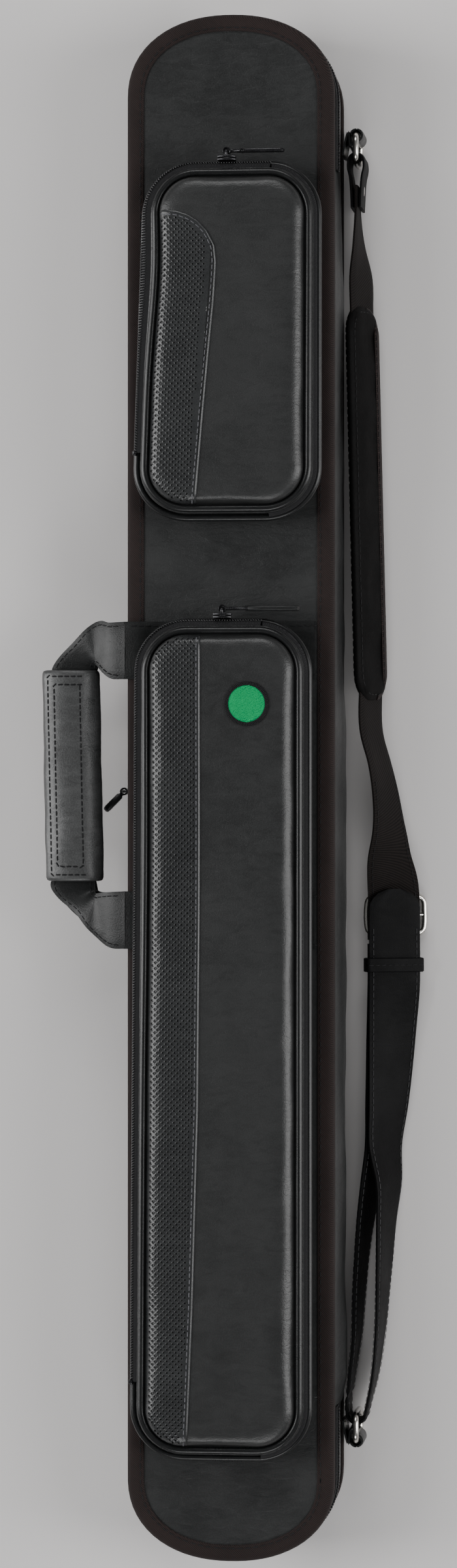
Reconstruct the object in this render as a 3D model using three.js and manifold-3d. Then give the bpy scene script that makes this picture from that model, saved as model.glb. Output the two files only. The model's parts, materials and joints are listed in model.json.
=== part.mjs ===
// A soft cue case lying on its back: a zipped clamshell body, two zipped pockets on its front, a
// two-strap carrying handle on the left and a shoulder strap along the spine on the right.
// Millimetres. +Z is up, +Y points to the top end and +X to the spine. The origin is the centre of
// the flat underside of the back panel.
import * as THREE from "three";
import { mergeVertices } from "three/addons/utils/BufferGeometryUtils.js";
import Module from "manifold-3d";

const wasm = await Module();
wasm.setup();

// Overall size. Each end of the outline is half a superellipse.
const CASE_WIDTH = 116;
const CASE_LENGTH = 860;
const END_DEPTH = 46;
const END_POWER = 2.2;
const QUARTER_STEPS = 7;
const STRAIGHT_Y = CASE_LENGTH / 2 - END_DEPTH;

// Heights above the ground.
const PANEL_RIM_Z = 1.3;
const BACK_PANEL_TOP = 3.5;
const ZIP_PLANE = 42.1;
const FRONT_PANEL_UNDER = 69.2;
const FRONT_FACE = 72;
const HALF_GAP = 0.3;

// Walls and tape.
const WALL_INSET = 1.5;
const WALL = 2.5;
const TAPE = 0.9;
const TAPE_WIDTH = 9.5;
const TAPE_SKIRT = 10;
const LINING_HALF_W = 53.7;
const CRADLE_RIM_Z = 38;
const SHAFT_RIM_Z = 45;

// Cue channels.
const BUTT = { count: 3, width: 33, wall: 2.25, floor: 3, corner: 9 };
const SHAFT = { count: 4, width: 24, wall: 2.4, floor: 2.5, corner: 7 };
const STRAP_ROWS = [200, -200];
const HOLD_DOWN = { halfW: 51.5, halfL: 19, thick: 1.4 };

// The main zip runs round both ends and the left side. The spine closes the right side.
const ZIP_END_Y = 345;
const ZIP_TAPE_HEIGHT = 8;
const ZIP_TOOTH_HEIGHT = 1.6;
const HINGE_X = 57.9;

// Pockets: centre, half sizes and the height on the left at which the zip stops.
const UPPER_POCKET = { name: "upper_pocket", x: 2.2, y: 246.5, halfW: 50.3, halfL: 99.5, zipEnd: -62 };
const LOWER_POCKET = { name: "lower_pocket", x: -2.5, y: -139, halfW: 49.7, halfL: 232.8, zipEnd: -190 };
const POCKET_CORNER = 30;
const TRAY = { base: 2.3, floor: 5, rim: 13.9, inset: 2.4, wall: 2.2 };
const PIPING = { base: 14.2, top: 18.4, width: 4.2 };
const PIPING_CHAMFER = 1.2;
const ZIP_TRACK = { inset: 2.2, width: 2.6, base: [18.7, 19.3], lid: [19.6, 20.2] };
const INLAY = { edge: -14, recess: 1.4, thick: 1.1 };
const LID = { base: 20.5, plate: 21.6, pipingTop: 25.2, top: 29.5, inset: 4.9, crown: 3.4 };

// Carrying handle. Its two front straps cross the front panel under the lower pocket.
const HANDLE_STRAP_Y = [76.5, -73.5];
const HANDLE_STRAP = { halfW: 16, thick: 1.6, seat: 0.3, anchorEnd: -57.9, hinge: -59 };
const GRIP = { x: -90, y: 6.9, z: 60, halfW: 16.5, halfL: 59, height: 17, corner: 7 };
const GRIP_STRAP_HALF = 12;
const TURN = { x: -76, radius: 1.5, drop: 3, upper: { past: 1, dip: 1 }, lower: { past: 5, dip: 3 } };
const TURN_STEPS = 5;
const HANDLE_TOP_Z = FRONT_FACE + HALF_GAP + TAPE + HANDLE_STRAP.seat + HANDLE_STRAP.thick / 2;
const REAR_STRAP = { halfW: 14, thick: 1.8, rootX: -58.6, rootZ: 20, turnZ: 34, runZ: 47.3, dip: 2 };

// Shoulder strap.
const STRAP = { width: 30, thick: 2.2, layerGap: 0.5, floorGap: 0.6 };
const PAD = { width: 40, thick: 7, top: 271, bottom: 50, slotW: 31.4, slotT: 3.6, tilt: 70, z: 20.7 };
const RING = { x: 67, z: 19.8, height: 38, depth: 18, wire: 3.5 };
const RING_BAR_Y = 367;
const STRAP_BAR_Y = RING_BAR_Y - RING.depth + RING.wire;
const BUCKLE = { x: 86.6, y: -72, tilt: 22, lift: 7.4, drop: 4.7, shift: 3 };
const BUCKLE_FRAME = { halfAcross: 18.6, halfL: 12.5, wire: 3.2, corner: 5 };
const PAD_LINE = [
  [300, 68.5],
  [30, 75],
];
const RING_TAB = { half: 13, eye: 4.3, bore: 2.5, baseHalf: 12 };
const END_LOOP = { halfThick: 2.3, reach: 26.5, eye: 5.4, bore: 3.5, rivet: 15 };
const LOOP_RADIUS = 5;
const LOOP_STEPS = 6;
const TWIST_STEPS = 3;
const OUTER_TOP_Y = -223;
const STACK_LOW_Y = -201;
const RING_LIFT = RING.z - STRAP.floorGap - STRAP.width / 2;
const PRONG = { bar: 1.2, bore: 1.7, knuckle: 3.1, width: 3.2, halfW: 1.2 };
const KEEPER = { y: -100, halfL: 4, wall: 1.3, clear: 0.7 };

// Zip sliders, their pulls and the badge.
const POST_Y = 4.8;
const POCKET_ZIP_Z = 91.6;
const SLIDER = { halfL: 5, halfW: 4.2, thick: 2.2, cheek: 1, halfGap: 3.2 };
const KNUCKLE = { radius: 2.3, bore: 1.4, halfHeight: 2.8, neck: 0.8 };
const UPPER_PULL = { x: 0, start: 6, end: 32, halfHeight: 3.2, thick: 2 };
const LOWER_PULL = { x: -2.4, start: 12.3, end: 43, halfHeight: 4, thick: 3 };
const MAIN_PULL = { turn: 135, start: 4, end: 15, halfHeight: 2.8, thick: 2.4 };
const MAIN_SLIDER = { x: -58.5, y: -2 };
const BADGE = { x: 12, y: 46.3, radius: 12, thick: 0.8 };

const LEATHER = { color: 0x24262a, roughness: 0.55 };
const GLOSSY_LEATHER = { color: 0x1b1c1f, roughness: 0.38 };
const TWILL = { color: 0x241d1a, roughness: 0.9 };
const PIPING_VINYL = { color: 0x15161a, roughness: 0.3 };
const LINING = { color: 0x1a1b1e, roughness: 0.95 };
const ZIP_NYLON = { color: 0x111113, roughness: 0.5 };
const BLACK_METAL = { color: 0x1c1c1f, roughness: 0.35, metalness: 0.8 };
const NICKEL = { color: 0xc9c7c2, roughness: 0.2, metalness: 1 };
const GREEN_THREAD = { color: 0x0f9a4c, roughness: 0.8 };

const degrees = THREE.MathUtils.degToRad;

// ---- Geometry helpers -------------------------------------------------------------------------

function addPiece(parent, name, geometry, look) {
  const mesh = new THREE.Mesh(geometry, new THREE.MeshStandardMaterial(look));
  mesh.name = name;
  parent.add(mesh);
  return mesh;
}

function addGroup(parent, x = 0, y = 0, z = 0) {
  const group = new THREE.Group();
  group.position.set(x, y, z);
  parent.add(group);
  return group;
}

// The case's outline in plan, moved inwards by inset.
function caseOutline(inset) {
  const halfW = CASE_WIDTH / 2 - inset;
  const depth = END_DEPTH - inset;
  const points = [];
  for (let quarter = 0; quarter < 4; quarter++)
    for (let step = quarter % 2; step <= QUARTER_STEPS; step++) {
      const angle = ((quarter + step / QUARTER_STEPS) * Math.PI) / 2;
      const across = Math.cos(angle);
      const along = Math.sin(angle);
      const side = quarter === 0 || quarter === 3 ? 1 : -1;
      const end = quarter < 2 ? 1 : -1;
      points.push(
        new THREE.Vector2(
          side * halfW * Math.abs(across) ** (2 / END_POWER),
          end * (STRAIGHT_Y + depth * Math.abs(along) ** (2 / END_POWER)),
        ),
      );
    }
  return points;
}

// A rectangle about the local origin with round corners, moved inwards by inset.
function roundedOutline(halfW, halfL, corner, inset = 0, steps = 5) {
  const radius = Math.max(corner - inset, 0.5);
  const points = [];
  for (let quarter = 0; quarter < 4; quarter++) {
    const x = (quarter === 0 || quarter === 3 ? 1 : -1) * (halfW - inset - radius);
    const y = (quarter < 2 ? 1 : -1) * (halfL - inset - radius);
    for (let step = 0; step <= steps; step++) {
      const angle = ((quarter + step / steps) * Math.PI) / 2;
      points.push(new THREE.Vector2(x + radius * Math.cos(angle), y + radius * Math.sin(angle)));
    }
  }
  return points;
}

function plate(outline, low, high, hole = null, chamfer = 0) {
  const shape = new THREE.Shape(outline);
  if (hole) shape.holes.push(new THREE.Path(hole));
  const geometry = new THREE.ExtrudeGeometry(shape, {
    depth: high - low - 2 * chamfer,
    bevelEnabled: chamfer > 0,
    bevelThickness: chamfer,
    bevelSize: chamfer,
    bevelOffset: -chamfer,
    bevelSegments: 1,
  });
  return geometry.translate(0, 0, low + chamfer);
}

function box(x0, x1, y0, y1, z0, z1) {
  return new THREE.BoxGeometry(x1 - x0, y1 - y0, z1 - z0).translate(
    (x0 + x1) / 2,
    (y0 + y1) / 2,
    (z0 + z1) / 2,
  );
}

function toSolid(geometry) {
  const bare = geometry.clone();
  bare.deleteAttribute("normal");
  bare.deleteAttribute("uv");
  const merged = mergeVertices(bare, 1e-4);
  return new wasm.Manifold(
    new wasm.Mesh({
      numProp: 3,
      vertProperties: merged.getAttribute("position").array,
      triVerts: new Uint32Array(merged.index.array),
    }),
  );
}

function toGeometry(solid) {
  const mesh = solid.getMesh();
  const geometry = new THREE.BufferGeometry();
  geometry.setAttribute("position", new THREE.BufferAttribute(mesh.vertProperties, 3));
  geometry.setIndex(new THREE.BufferAttribute(mesh.triVerts, 1));
  return geometry;
}

const joined = (...parts) => toGeometry(parts.map(toSolid).reduce((all, part) => all.add(part)));
const cut = (from, ...tools) =>
  toGeometry(tools.map(toSolid).reduce((left, tool) => left.subtract(tool), toSolid(from)));
const common = (one, other) => toGeometry(toSolid(one).intersect(toSolid(other)));

// A closed body through a row of four-cornered sections.
function loft(sections) {
  const count = sections[0].length;
  const index = [];
  for (let s = 0; s + 1 < sections.length; s++)
    for (let k = 0; k < count; k++) {
      const a = s * count + k;
      const b = s * count + ((k + 1) % count);
      index.push(a, b, b + count, a, b + count, a + count);
    }
  const last = (sections.length - 1) * count;
  for (let k = 1; k + 1 < count; k++) index.push(0, k + 1, k, last, last + k, last + k + 1);
  const corners = sections.flat();
  let volume = 0;
  for (let i = 0; i < index.length; i += 3) {
    const [a, b, c] = [corners[index[i]], corners[index[i + 1]], corners[index[i + 2]]];
    volume += a.dot(new THREE.Vector3().crossVectors(b, c));
  }
  if (volume < 0) index.reverse();
  const geometry = new THREE.BufferGeometry();
  geometry.setAttribute(
    "position",
    new THREE.Float32BufferAttribute(corners.flatMap((p) => p.toArray()), 3),
  );
  geometry.setIndex(index);
  return geometry;
}

// One section of flat webbing: its centre, and its half width and half thickness as vectors.
function webSection(centre, halfAcross, halfThick) {
  return [
    [1, 1],
    [-1, 1],
    [-1, -1],
    [1, -1],
  ].map(([a, t]) => centre.clone().addScaledVector(halfAcross, a).addScaledVector(halfThick, t));
}

// ---- Main body --------------------------------------------------------------------------------

// An L of twill tape over the edge between a panel and its wall.
function edgeTape(low, high, legLow, legHigh) {
  const whole = plate(caseOutline(0), low, high, caseOutline(TAPE_WIDTH));
  const hollow = plate(caseOutline(TAPE + HALF_GAP), legLow, legHigh, caseOutline(TAPE_WIDTH + 1));
  return cut(whole, hollow);
}

// Zip tape with its row of teeth, round both ends and the left side.
function mainZip(low, high, teethLow, teethHigh) {
  const tape = plate(caseOutline(0.4), low, high, caseOutline(WALL_INSET - HALF_GAP));
  const teeth = plate(caseOutline(0), teethLow, teethHigh, caseOutline(0.8));
  const spineSide = box(20, CASE_WIDTH, -ZIP_END_Y, ZIP_END_Y, low - 1, high + 1);
  return cut(joined(tape, teeth), spineSide);
}

// A foam block with open channels along Y, built with its channels opening upwards from z = 0.
function channelBlock(channel, height) {
  const pitch = channel.width + channel.wall;
  const shape = new THREE.Shape();
  shape.moveTo(-LINING_HALF_W, 0);
  shape.lineTo(LINING_HALF_W, 0);
  shape.lineTo(LINING_HALF_W, height);
  for (let i = channel.count - 1; i >= 0; i--) {
    const left = (i - (channel.count - 1) / 2) * pitch - channel.width / 2;
    const right = left + channel.width;
    const centreZ = channel.floor + channel.corner;
    shape.lineTo(right, height);
    shape.lineTo(right, centreZ);
    shape.absarc(right - channel.corner, centreZ, channel.corner, 0, -Math.PI / 2, true);
    shape.absarc(left + channel.corner, centreZ, channel.corner, -Math.PI / 2, -Math.PI, true);
    shape.lineTo(left, height);
  }
  shape.lineTo(-LINING_HALF_W, height);
  shape.closePath();
  const length = 2 * STRAIGHT_Y;
  return new THREE.ExtrudeGeometry(shape, { depth: length, bevelEnabled: false, curveSegments: 3 })
    .rotateX(Math.PI / 2)
    .translate(0, length / 2, 0);
}

// The foam that fills one round end between the two panels.
function endPad(end, low, high) {
  const start = STRAIGHT_Y + 0.4;
  const whole = plate(caseOutline(WALL_INSET + WALL + HALF_GAP), low, high);
  const reach = end > 0 ? [start, CASE_LENGTH] : [-CASE_LENGTH, -start];
  return common(whole, box(-CASE_WIDTH, CASE_WIDTH, ...reach, low - 1, high + 1));
}

function spineStrip(low, high) {
  const outline = roundedOutline((high - low) / 2, ZIP_END_Y - 1, 2, 0, 2);
  return plate(outline, -0.4, 0.4)
    .rotateY(Math.PI / 2)
    .translate(HINGE_X - 0.6, 0, (low + high) / 2);
}

function addHoldDowns(parent, name, low) {
  STRAP_ROWS.forEach((y, row) => {
    const outline = roundedOutline(HOLD_DOWN.halfW, HOLD_DOWN.halfL, 4, 0, 2);
    const strap = addPiece(parent, `${name}_${row + 1}`, plate(outline, 0, HOLD_DOWN.thick), LINING);
    strap.position.set(0, y, low);
  });
}

function addRearShell(parent) {
  const rim = plate(caseOutline(WALL_INSET), PANEL_RIM_Z, BACK_PANEL_TOP);
  addPiece(parent, "back_panel", joined(rim, plate(caseOutline(10), 0, PANEL_RIM_Z + 0.5)), LEATHER);
  const wallLow = BACK_PANEL_TOP + HALF_GAP;
  const wallHigh = ZIP_PLANE - HALF_GAP;
  const gusset = plate(caseOutline(WALL_INSET), wallLow, wallHigh, caseOutline(WALL_INSET + WALL));
  addPiece(parent, "rear_gusset", gusset, LEATHER);
  const tapeTop = PANEL_RIM_Z - HALF_GAP;
  addPiece(parent, "rear_binding", edgeTape(0.15, TAPE_SKIRT, tapeTop, TAPE_SKIRT + 1), TWILL);
  const zip = mainZip(wallHigh - ZIP_TAPE_HEIGHT, wallHigh, wallHigh - ZIP_TOOTH_HEIGHT, wallHigh);
  addPiece(parent, "main_zip_rear", zip, ZIP_NYLON);
  addPiece(parent, "spine_strip_rear", spineStrip(TAPE_SKIRT + 1, wallHigh), LEATHER);
  const cradle = channelBlock(BUTT, CRADLE_RIM_Z - wallLow).translate(0, 0, wallLow);
  addPiece(parent, "butt_cradle", cradle, LINING);
  addPiece(parent, "rear_end_pad_top", endPad(1, wallLow, CRADLE_RIM_Z), LINING);
  addPiece(parent, "rear_end_pad_bottom", endPad(-1, wallLow, CRADLE_RIM_Z), LINING);
  addHoldDowns(parent, "butt_hold_down", CRADLE_RIM_Z + HALF_GAP);
}

function addFrontLid(parent) {
  const panel = plate(caseOutline(WALL_INSET), FRONT_PANEL_UNDER, FRONT_FACE);
  addPiece(parent, "front_panel", panel, LEATHER);
  const wallLow = ZIP_PLANE + HALF_GAP;
  const wallHigh = FRONT_PANEL_UNDER - HALF_GAP;
  const gusset = plate(caseOutline(WALL_INSET), wallLow, wallHigh, caseOutline(WALL_INSET + WALL));
  addPiece(parent, "lid_gusset", gusset, LEATHER);
  const tapeTop = FRONT_FACE + HALF_GAP + TAPE;
  const tapeLow = tapeTop - TAPE_SKIRT - 1;
  const tape = edgeTape(tapeLow, tapeTop, tapeLow - 1, FRONT_FACE + HALF_GAP);
  addPiece(parent, "front_binding", tape, TWILL);
  const zipHigh = wallLow + ZIP_TAPE_HEIGHT;
  const zip = mainZip(wallLow, zipHigh, wallLow, wallLow + ZIP_TOOTH_HEIGHT);
  addPiece(parent, "main_zip_front", zip, ZIP_NYLON);
  addPiece(parent, "spine_strip_front", spineStrip(wallLow, tapeLow - 0.5), LEATHER);
  const cradle = channelBlock(SHAFT, wallHigh - SHAFT_RIM_Z).rotateY(Math.PI);
  addPiece(parent, "shaft_cradle", cradle.translate(0, 0, wallHigh), LINING);
  addPiece(parent, "lid_end_pad_top", endPad(1, SHAFT_RIM_Z, wallHigh), LINING);
  addPiece(parent, "lid_end_pad_bottom", endPad(-1, SHAFT_RIM_Z, wallHigh), LINING);
  addHoldDowns(parent, "shaft_hold_down", SHAFT_RIM_Z - HALF_GAP - HOLD_DOWN.thick);
}

// ---- Zip sliders and pulls --------------------------------------------------------------------

// A slider on a zip that runs along local X and faces local +Y. Its pull turns on a post along Z.
function sliderGeometry() {
  const { halfL, halfW, thick, cheek, halfGap } = SLIDER;
  const body = plate(roundedOutline(halfL, halfW, 2, 0, 2), 0, thick).rotateX(-Math.PI / 2);
  const postHeight = 2 * (halfGap + cheek) - 0.2;
  const post = new THREE.CylinderGeometry(0.9, 0.9, postHeight, 8).rotateX(Math.PI / 2);
  const cheeks = [-halfGap - cheek, halfGap].map((z) =>
    box(-1.8, 1.8, thick - 0.3, POST_Y + 1.6, z, z + cheek),
  );
  return joined(body, post.translate(0, POST_Y, 0), ...cheeks);
}

// The knuckle and neck of a pull, round the post at the local origin and reaching along +X.
function pullKnuckle(reach) {
  const { radius, bore, halfHeight, neck } = KNUCKLE;
  const barrel = new THREE.CylinderGeometry(radius, radius, 2 * halfHeight, 10).rotateX(Math.PI / 2);
  const arm = box(1.2, reach, -neck, neck, -halfHeight, halfHeight);
  const hole = new THREE.CylinderGeometry(bore, bore, 3 * halfHeight, 10).rotateX(Math.PI / 2);
  return cut(joined(barrel, arm), hole);
}

// A flat tab standing on edge along local X.
function pullTab({ start, end, halfHeight, thick }) {
  return plate(roundedOutline((end - start) / 2, halfHeight, 2, 0, 2), -thick / 2, thick / 2)
    .rotateX(Math.PI / 2)
    .translate((start + end) / 2, 0, 0);
}

// Adds a slider and returns the group in which its pull turns.
function addSlider(parent, name, x, y, z, turn) {
  const group = addGroup(parent, x, y, z);
  group.rotation.z = degrees(turn);
  addPiece(group, `${name}_slider`, sliderGeometry(), BLACK_METAL);
  return addGroup(group, 0, POST_Y, 0);
}

function addSliders(parent) {
  const pocketTop = (pocket) => pocket.y + pocket.halfL + 0.4;
  const upperTop = pocketTop(UPPER_POCKET);
  const upper = addSlider(parent, "upper_pocket", UPPER_PULL.x, upperTop, POCKET_ZIP_Z, 0);
  const upperPull = joined(pullKnuckle(UPPER_PULL.start + 1), pullTab(UPPER_PULL));
  addPiece(upper, "upper_pocket_pull", upperPull, BLACK_METAL);
  const lowerTop = pocketTop(LOWER_POCKET);
  const lower = addSlider(parent, "lower_pocket", LOWER_PULL.x, lowerTop, POCKET_ZIP_Z, 0);
  addPiece(lower, "lower_pocket_pull_link", pullKnuckle(LOWER_PULL.start - HALF_GAP), BLACK_METAL);
  addPiece(lower, "lower_pocket_pull", pullTab(LOWER_PULL), LEATHER);
  const main = addSlider(parent, "main_zip", MAIN_SLIDER.x, MAIN_SLIDER.y, ZIP_PLANE, 90);
  main.rotation.z = degrees(MAIN_PULL.turn);
  const mainPull = joined(pullKnuckle(MAIN_PULL.start + 1), pullTab(MAIN_PULL));
  addPiece(main, "main_zip_pull", mainPull, LEATHER);
}

// ---- Pockets ----------------------------------------------------------------------------------

function pocketRing(pocket, inset, width, low, high, chamfer = 0) {
  const outer = roundedOutline(pocket.halfW, pocket.halfL, POCKET_CORNER, inset);
  const inner = roundedOutline(pocket.halfW, pocket.halfL, POCKET_CORNER, inset + width);
  return plate(outer, low, high, inner, chamfer);
}

// The zip along the top and down the left side, as far as its end stop.
function pocketZip(pocket, low, high) {
  const ring = pocketRing(pocket, ZIP_TRACK.inset, ZIP_TRACK.width, low, high);
  const reach = pocket.halfL + 10;
  const right = box(pocket.halfW - POCKET_CORNER + 2, CASE_WIDTH, -reach, reach, low - 1, high + 1);
  const foot = box(-CASE_WIDTH, CASE_WIDTH, -reach, pocket.zipEnd, low - 1, high + 1);
  return cut(ring, right, foot);
}

function addPocket(parent, pocket) {
  const { name, halfW, halfL } = pocket;
  const base = addGroup(parent, pocket.x, pocket.y, FRONT_FACE);
  const outline = (inset) => roundedOutline(halfW, halfL, POCKET_CORNER, inset);
  const floor = plate(outline(TRAY.inset), TRAY.base, TRAY.floor);
  const wall = pocketRing(pocket, TRAY.inset, TRAY.wall, TRAY.floor - 1, TRAY.rim);
  const notches = HANDLE_STRAP_Y.map((y) => {
    const middle = y - pocket.y;
    const reach = HANDLE_STRAP.halfW + 2 * HALF_GAP;
    const top = HANDLE_STRAP.seat + HANDLE_STRAP.thick + 1.7;
    return box(-CASE_WIDTH, CASE_WIDTH, middle - reach, middle + reach, 0, top);
  });
  addPiece(base, `${name}_gusset`, cut(joined(floor, wall), ...notches), LEATHER);
  const basePiping = pocketRing(pocket, 0, PIPING.width, PIPING.base, PIPING.top, PIPING_CHAMFER);
  addPiece(base, `${name}_base_piping`, basePiping, PIPING_VINYL);
  addPiece(base, `${name}_zip_base`, pocketZip(pocket, ...ZIP_TRACK.base), ZIP_NYLON);
  addPiece(base, `${name}_zip_lid`, pocketZip(pocket, ...ZIP_TRACK.lid), ZIP_NYLON);
  const cushionInset = LID.inset + PIPING.width + HALF_GAP;
  const lidPlate = plate(outline(LID.inset), LID.base, LID.plate);
  const cushion = plate(outline(cushionInset), LID.plate - 0.3, LID.top, null, LID.crown);
  const step = box(-CASE_WIDTH, INLAY.edge, -halfL, halfL, LID.top - INLAY.recess, LID.top + 1);
  addPiece(base, `${name}_lid`, cut(joined(lidPlate, cushion), step), LEATHER);
  const pipingLow = LID.plate + HALF_GAP;
  const piping = pocketRing(pocket, LID.inset, PIPING.width, pipingLow, LID.pipingTop, PIPING_CHAMFER);
  addPiece(base, `${name}_lid_piping`, piping, PIPING_VINYL);
  const inlay = common(
    plate(outline(cushionInset + LID.crown), LID.top - INLAY.thick, LID.top),
    box(-CASE_WIDTH, INLAY.edge - HALF_GAP, -halfL, halfL, 0, LID.top + 1),
  );
  addPiece(base, `${name}_inlay`, inlay, GLOSSY_LEATHER);
}

function addBadge(parent) {
  const disc = new THREE.CylinderGeometry(BADGE.radius, BADGE.radius, BADGE.thick, 20);
  const badge = addPiece(parent, "badge", disc.rotateX(Math.PI / 2), GREEN_THREAD);
  badge.position.set(BADGE.x, BADGE.y, FRONT_FACE + LID.top + HALF_GAP + BADGE.thick / 2);
}

// ---- Carrying handle --------------------------------------------------------------------------

// The sections of a strap that leaves the case along -X and turns towards the grip. dip narrows
// it in the middle of the turn, where a real strap folds over on itself.
function handleTurn(side, pivotY, zStart, zEnd, halfW, thick, dip) {
  const sections = [];
  for (let step = 0; step <= TURN_STEPS; step++) {
    const angle = ((step / TURN_STEPS) * Math.PI) / 2;
    const outwards = new THREE.Vector3(-Math.sin(angle), side * Math.cos(angle), 0);
    const half = halfW - dip * Math.sin(2 * angle);
    const z = THREE.MathUtils.lerp(zStart, zEnd, step / TURN_STEPS);
    const centre = new THREE.Vector3(TURN.x, pivotY, z).addScaledVector(outwards, half + TURN.radius);
    const up = new THREE.Vector3(0, 0, thick / 2);
    sections.push(webSection(centre, outwards.multiplyScalar(half), up));
  }
  return sections;
}

const gripEnd = (side) => GRIP.y + side * (GRIP.halfL + HALF_GAP);
const pivotAt = (side) => gripEnd(side) + side * (side > 0 ? TURN.upper.past : TURN.lower.past);

function frontHandleLoop(side) {
  const { halfW, thick, hinge } = HANDLE_STRAP;
  const root = new THREE.Vector3(hinge, HANDLE_STRAP_Y[side > 0 ? 0 : 1], HANDLE_TOP_Z);
  const start = webSection(root, new THREE.Vector3(0, side * halfW, 0), new THREE.Vector3(0, 0, thick / 2));
  const dip = (side > 0 ? TURN.upper : TURN.lower).dip;
  const rise = [GRIP.z + TURN.drop, GRIP.z];
  const turn = handleTurn(side, pivotAt(side), ...rise, GRIP_STRAP_HALF, thick, dip);
  const inGrip = turn.at(-1).map((corner) => corner.clone().setY(gripEnd(side)));
  return loft([start, ...turn, inGrip]);
}

function rearHandleStrap() {
  const { halfW, thick, rootX, rootZ, turnZ, runZ, dip } = REAR_STRAP;
  const halves = [1, -1].map((side) => {
    const root = new THREE.Vector3(rootX, HANDLE_STRAP_Y[side > 0 ? 0 : 1], rootZ);
    const across = new THREE.Vector3(0, side * halfW, 0);
    const start = webSection(root, across, new THREE.Vector3(0, 0, thick / 2));
    const narrow = GRIP_STRAP_HALF - 0.5;
    return [start, ...handleTurn(side, pivotAt(side), turnZ, runZ, narrow, thick, dip)];
  });
  return loft([...halves[0], ...halves[1].reverse()]);
}

// The flat run of a handle strap across the front panel and over the edge tape.
function handleAnchor(y) {
  const half = new THREE.Vector3(0, HANDLE_STRAP.halfW, 0);
  const up = new THREE.Vector3(0, 0, HANDLE_STRAP.thick / 2);
  const flatZ = FRONT_FACE + HANDLE_STRAP.seat + HANDLE_STRAP.thick / 2;
  const inner = CASE_WIDTH / 2 - TAPE_WIDTH;
  const route = [
    [inner - 1.5, flatZ],
    [-inner + 2.5, flatZ],
    [-inner - 0.5, HANDLE_TOP_Z],
    [HANDLE_STRAP.anchorEnd, HANDLE_TOP_Z],
  ];
  return loft(route.map(([x, z]) => webSection(new THREE.Vector3(x, y, z), half, up)));
}

function addHandle(parent) {
  addPiece(parent, "handle_anchor_upper", handleAnchor(HANDLE_STRAP_Y[0]), LEATHER);
  addPiece(parent, "handle_anchor_lower", handleAnchor(HANDLE_STRAP_Y[1]), LEATHER);
  addPiece(parent, "handle_loop_upper", frontHandleLoop(1), LEATHER);
  addPiece(parent, "handle_loop_lower", frontHandleLoop(-1), LEATHER);
  const section = roundedOutline(GRIP.halfW, GRIP.height / 2, GRIP.corner, 0, 3);
  const grip = plate(section, -GRIP.halfL, GRIP.halfL, null, 1.5).rotateX(Math.PI / 2);
  addPiece(parent, "handle_grip", grip, LEATHER).position.set(GRIP.x, GRIP.y, GRIP.z);
  addPiece(parent, "rear_handle_strap", rearHandleStrap(), LEATHER);
}

// ---- Shoulder strap ---------------------------------------------------------------------------

// The strap's frame at a tilt from flat: its width direction and the normal of its outer face.
const acrossAt = (tilt) => new THREE.Vector3(Math.cos(degrees(tilt)), 0, -Math.sin(degrees(tilt)));
const normalAt = (tilt) => new THREE.Vector3(Math.sin(degrees(tilt)), 0, Math.cos(degrees(tilt)));

// A strap station is [y, x, tilt, lift above its resting height].
function strapCentre([y, x, tilt, lift]) {
  const half = (STRAP.width / 2) * Math.sin(degrees(tilt)) + (STRAP.thick / 2) * Math.cos(degrees(tilt));
  return new THREE.Vector3(x, y, STRAP.floorGap + half + lift);
}

// facing is 1 where the strap's outer face looks along the normal, and -1 where it has turned over.
function strapSection(station, layer = 0, facing = 1) {
  const [, , tilt] = station;
  const normal = normalAt(tilt);
  const centre = strapCentre(station).addScaledVector(normal, layer * (STRAP.thick + STRAP.layerGap));
  const halfAcross = acrossAt(tilt).multiplyScalar(STRAP.width / 2);
  return webSection(centre, halfAcross, normal.multiplyScalar((facing * STRAP.thick) / 2));
}

const UPPER_RUN = [
  [STRAP_BAR_Y - 26.9, RING.x, 90, RING_LIFT],
  [300, 68.5, PAD.tilt, 5.6],
  [30, 75, PAD.tilt, 5.6],
  [15, 79, PAD.tilt, 4.8],
  [0, 82, 67, 4],
  [-25, 84.6, 56, 4.5],
  [-42, 84.8, 38, 6.2],
  [-56, BUCKLE.x, BUCKLE.tilt, BUCKLE.lift],
  [-86, BUCKLE.x, BUCKLE.tilt, BUCKLE.lift],
];
const STACKED_RUN = [
  [-110, BUCKLE.x, BUCKLE.tilt, BUCKLE.lift],
  [-136, 85, 32, 4],
  [-179, 82, 47, 0.5],
  [-201, 80, 56, 0],
];
const LOWER_INNER_RUN = [
  [-223, 74.5, 70, 0],
  [-245, 71, 76, 0],
  [-266, 68.8, 80, 0],
  [-288, 67.3, 82, 0.5],
  [-310, 66.2, 85, 2],
  [-335, 63.2, 89, 4],
];
const LOWER_OUTER_RUN = [
  [-335, 76, 88, 4],
  [-310, 79.2, 84, 2],
  [-288, 80.6, 81, 0.5],
  [-266, 81.8, 77, 0],
  [-245, 82.8, 73, 0],
  [-223, 83.6, 66, 0],
];

// The same run with stations between its own wherever the strap twists.
function finer(run) {
  return run.flatMap((station, i) => {
    if (i === 0) return [station];
    const before = run[i - 1];
    const parts = before[2] === station[2] ? 1 : TWIST_STEPS;
    return Array.from({ length: parts }, (_, k) =>
      station.map((value, column) => THREE.MathUtils.lerp(before[column], value, (k + 1) / parts)),
    );
  });
}

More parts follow.
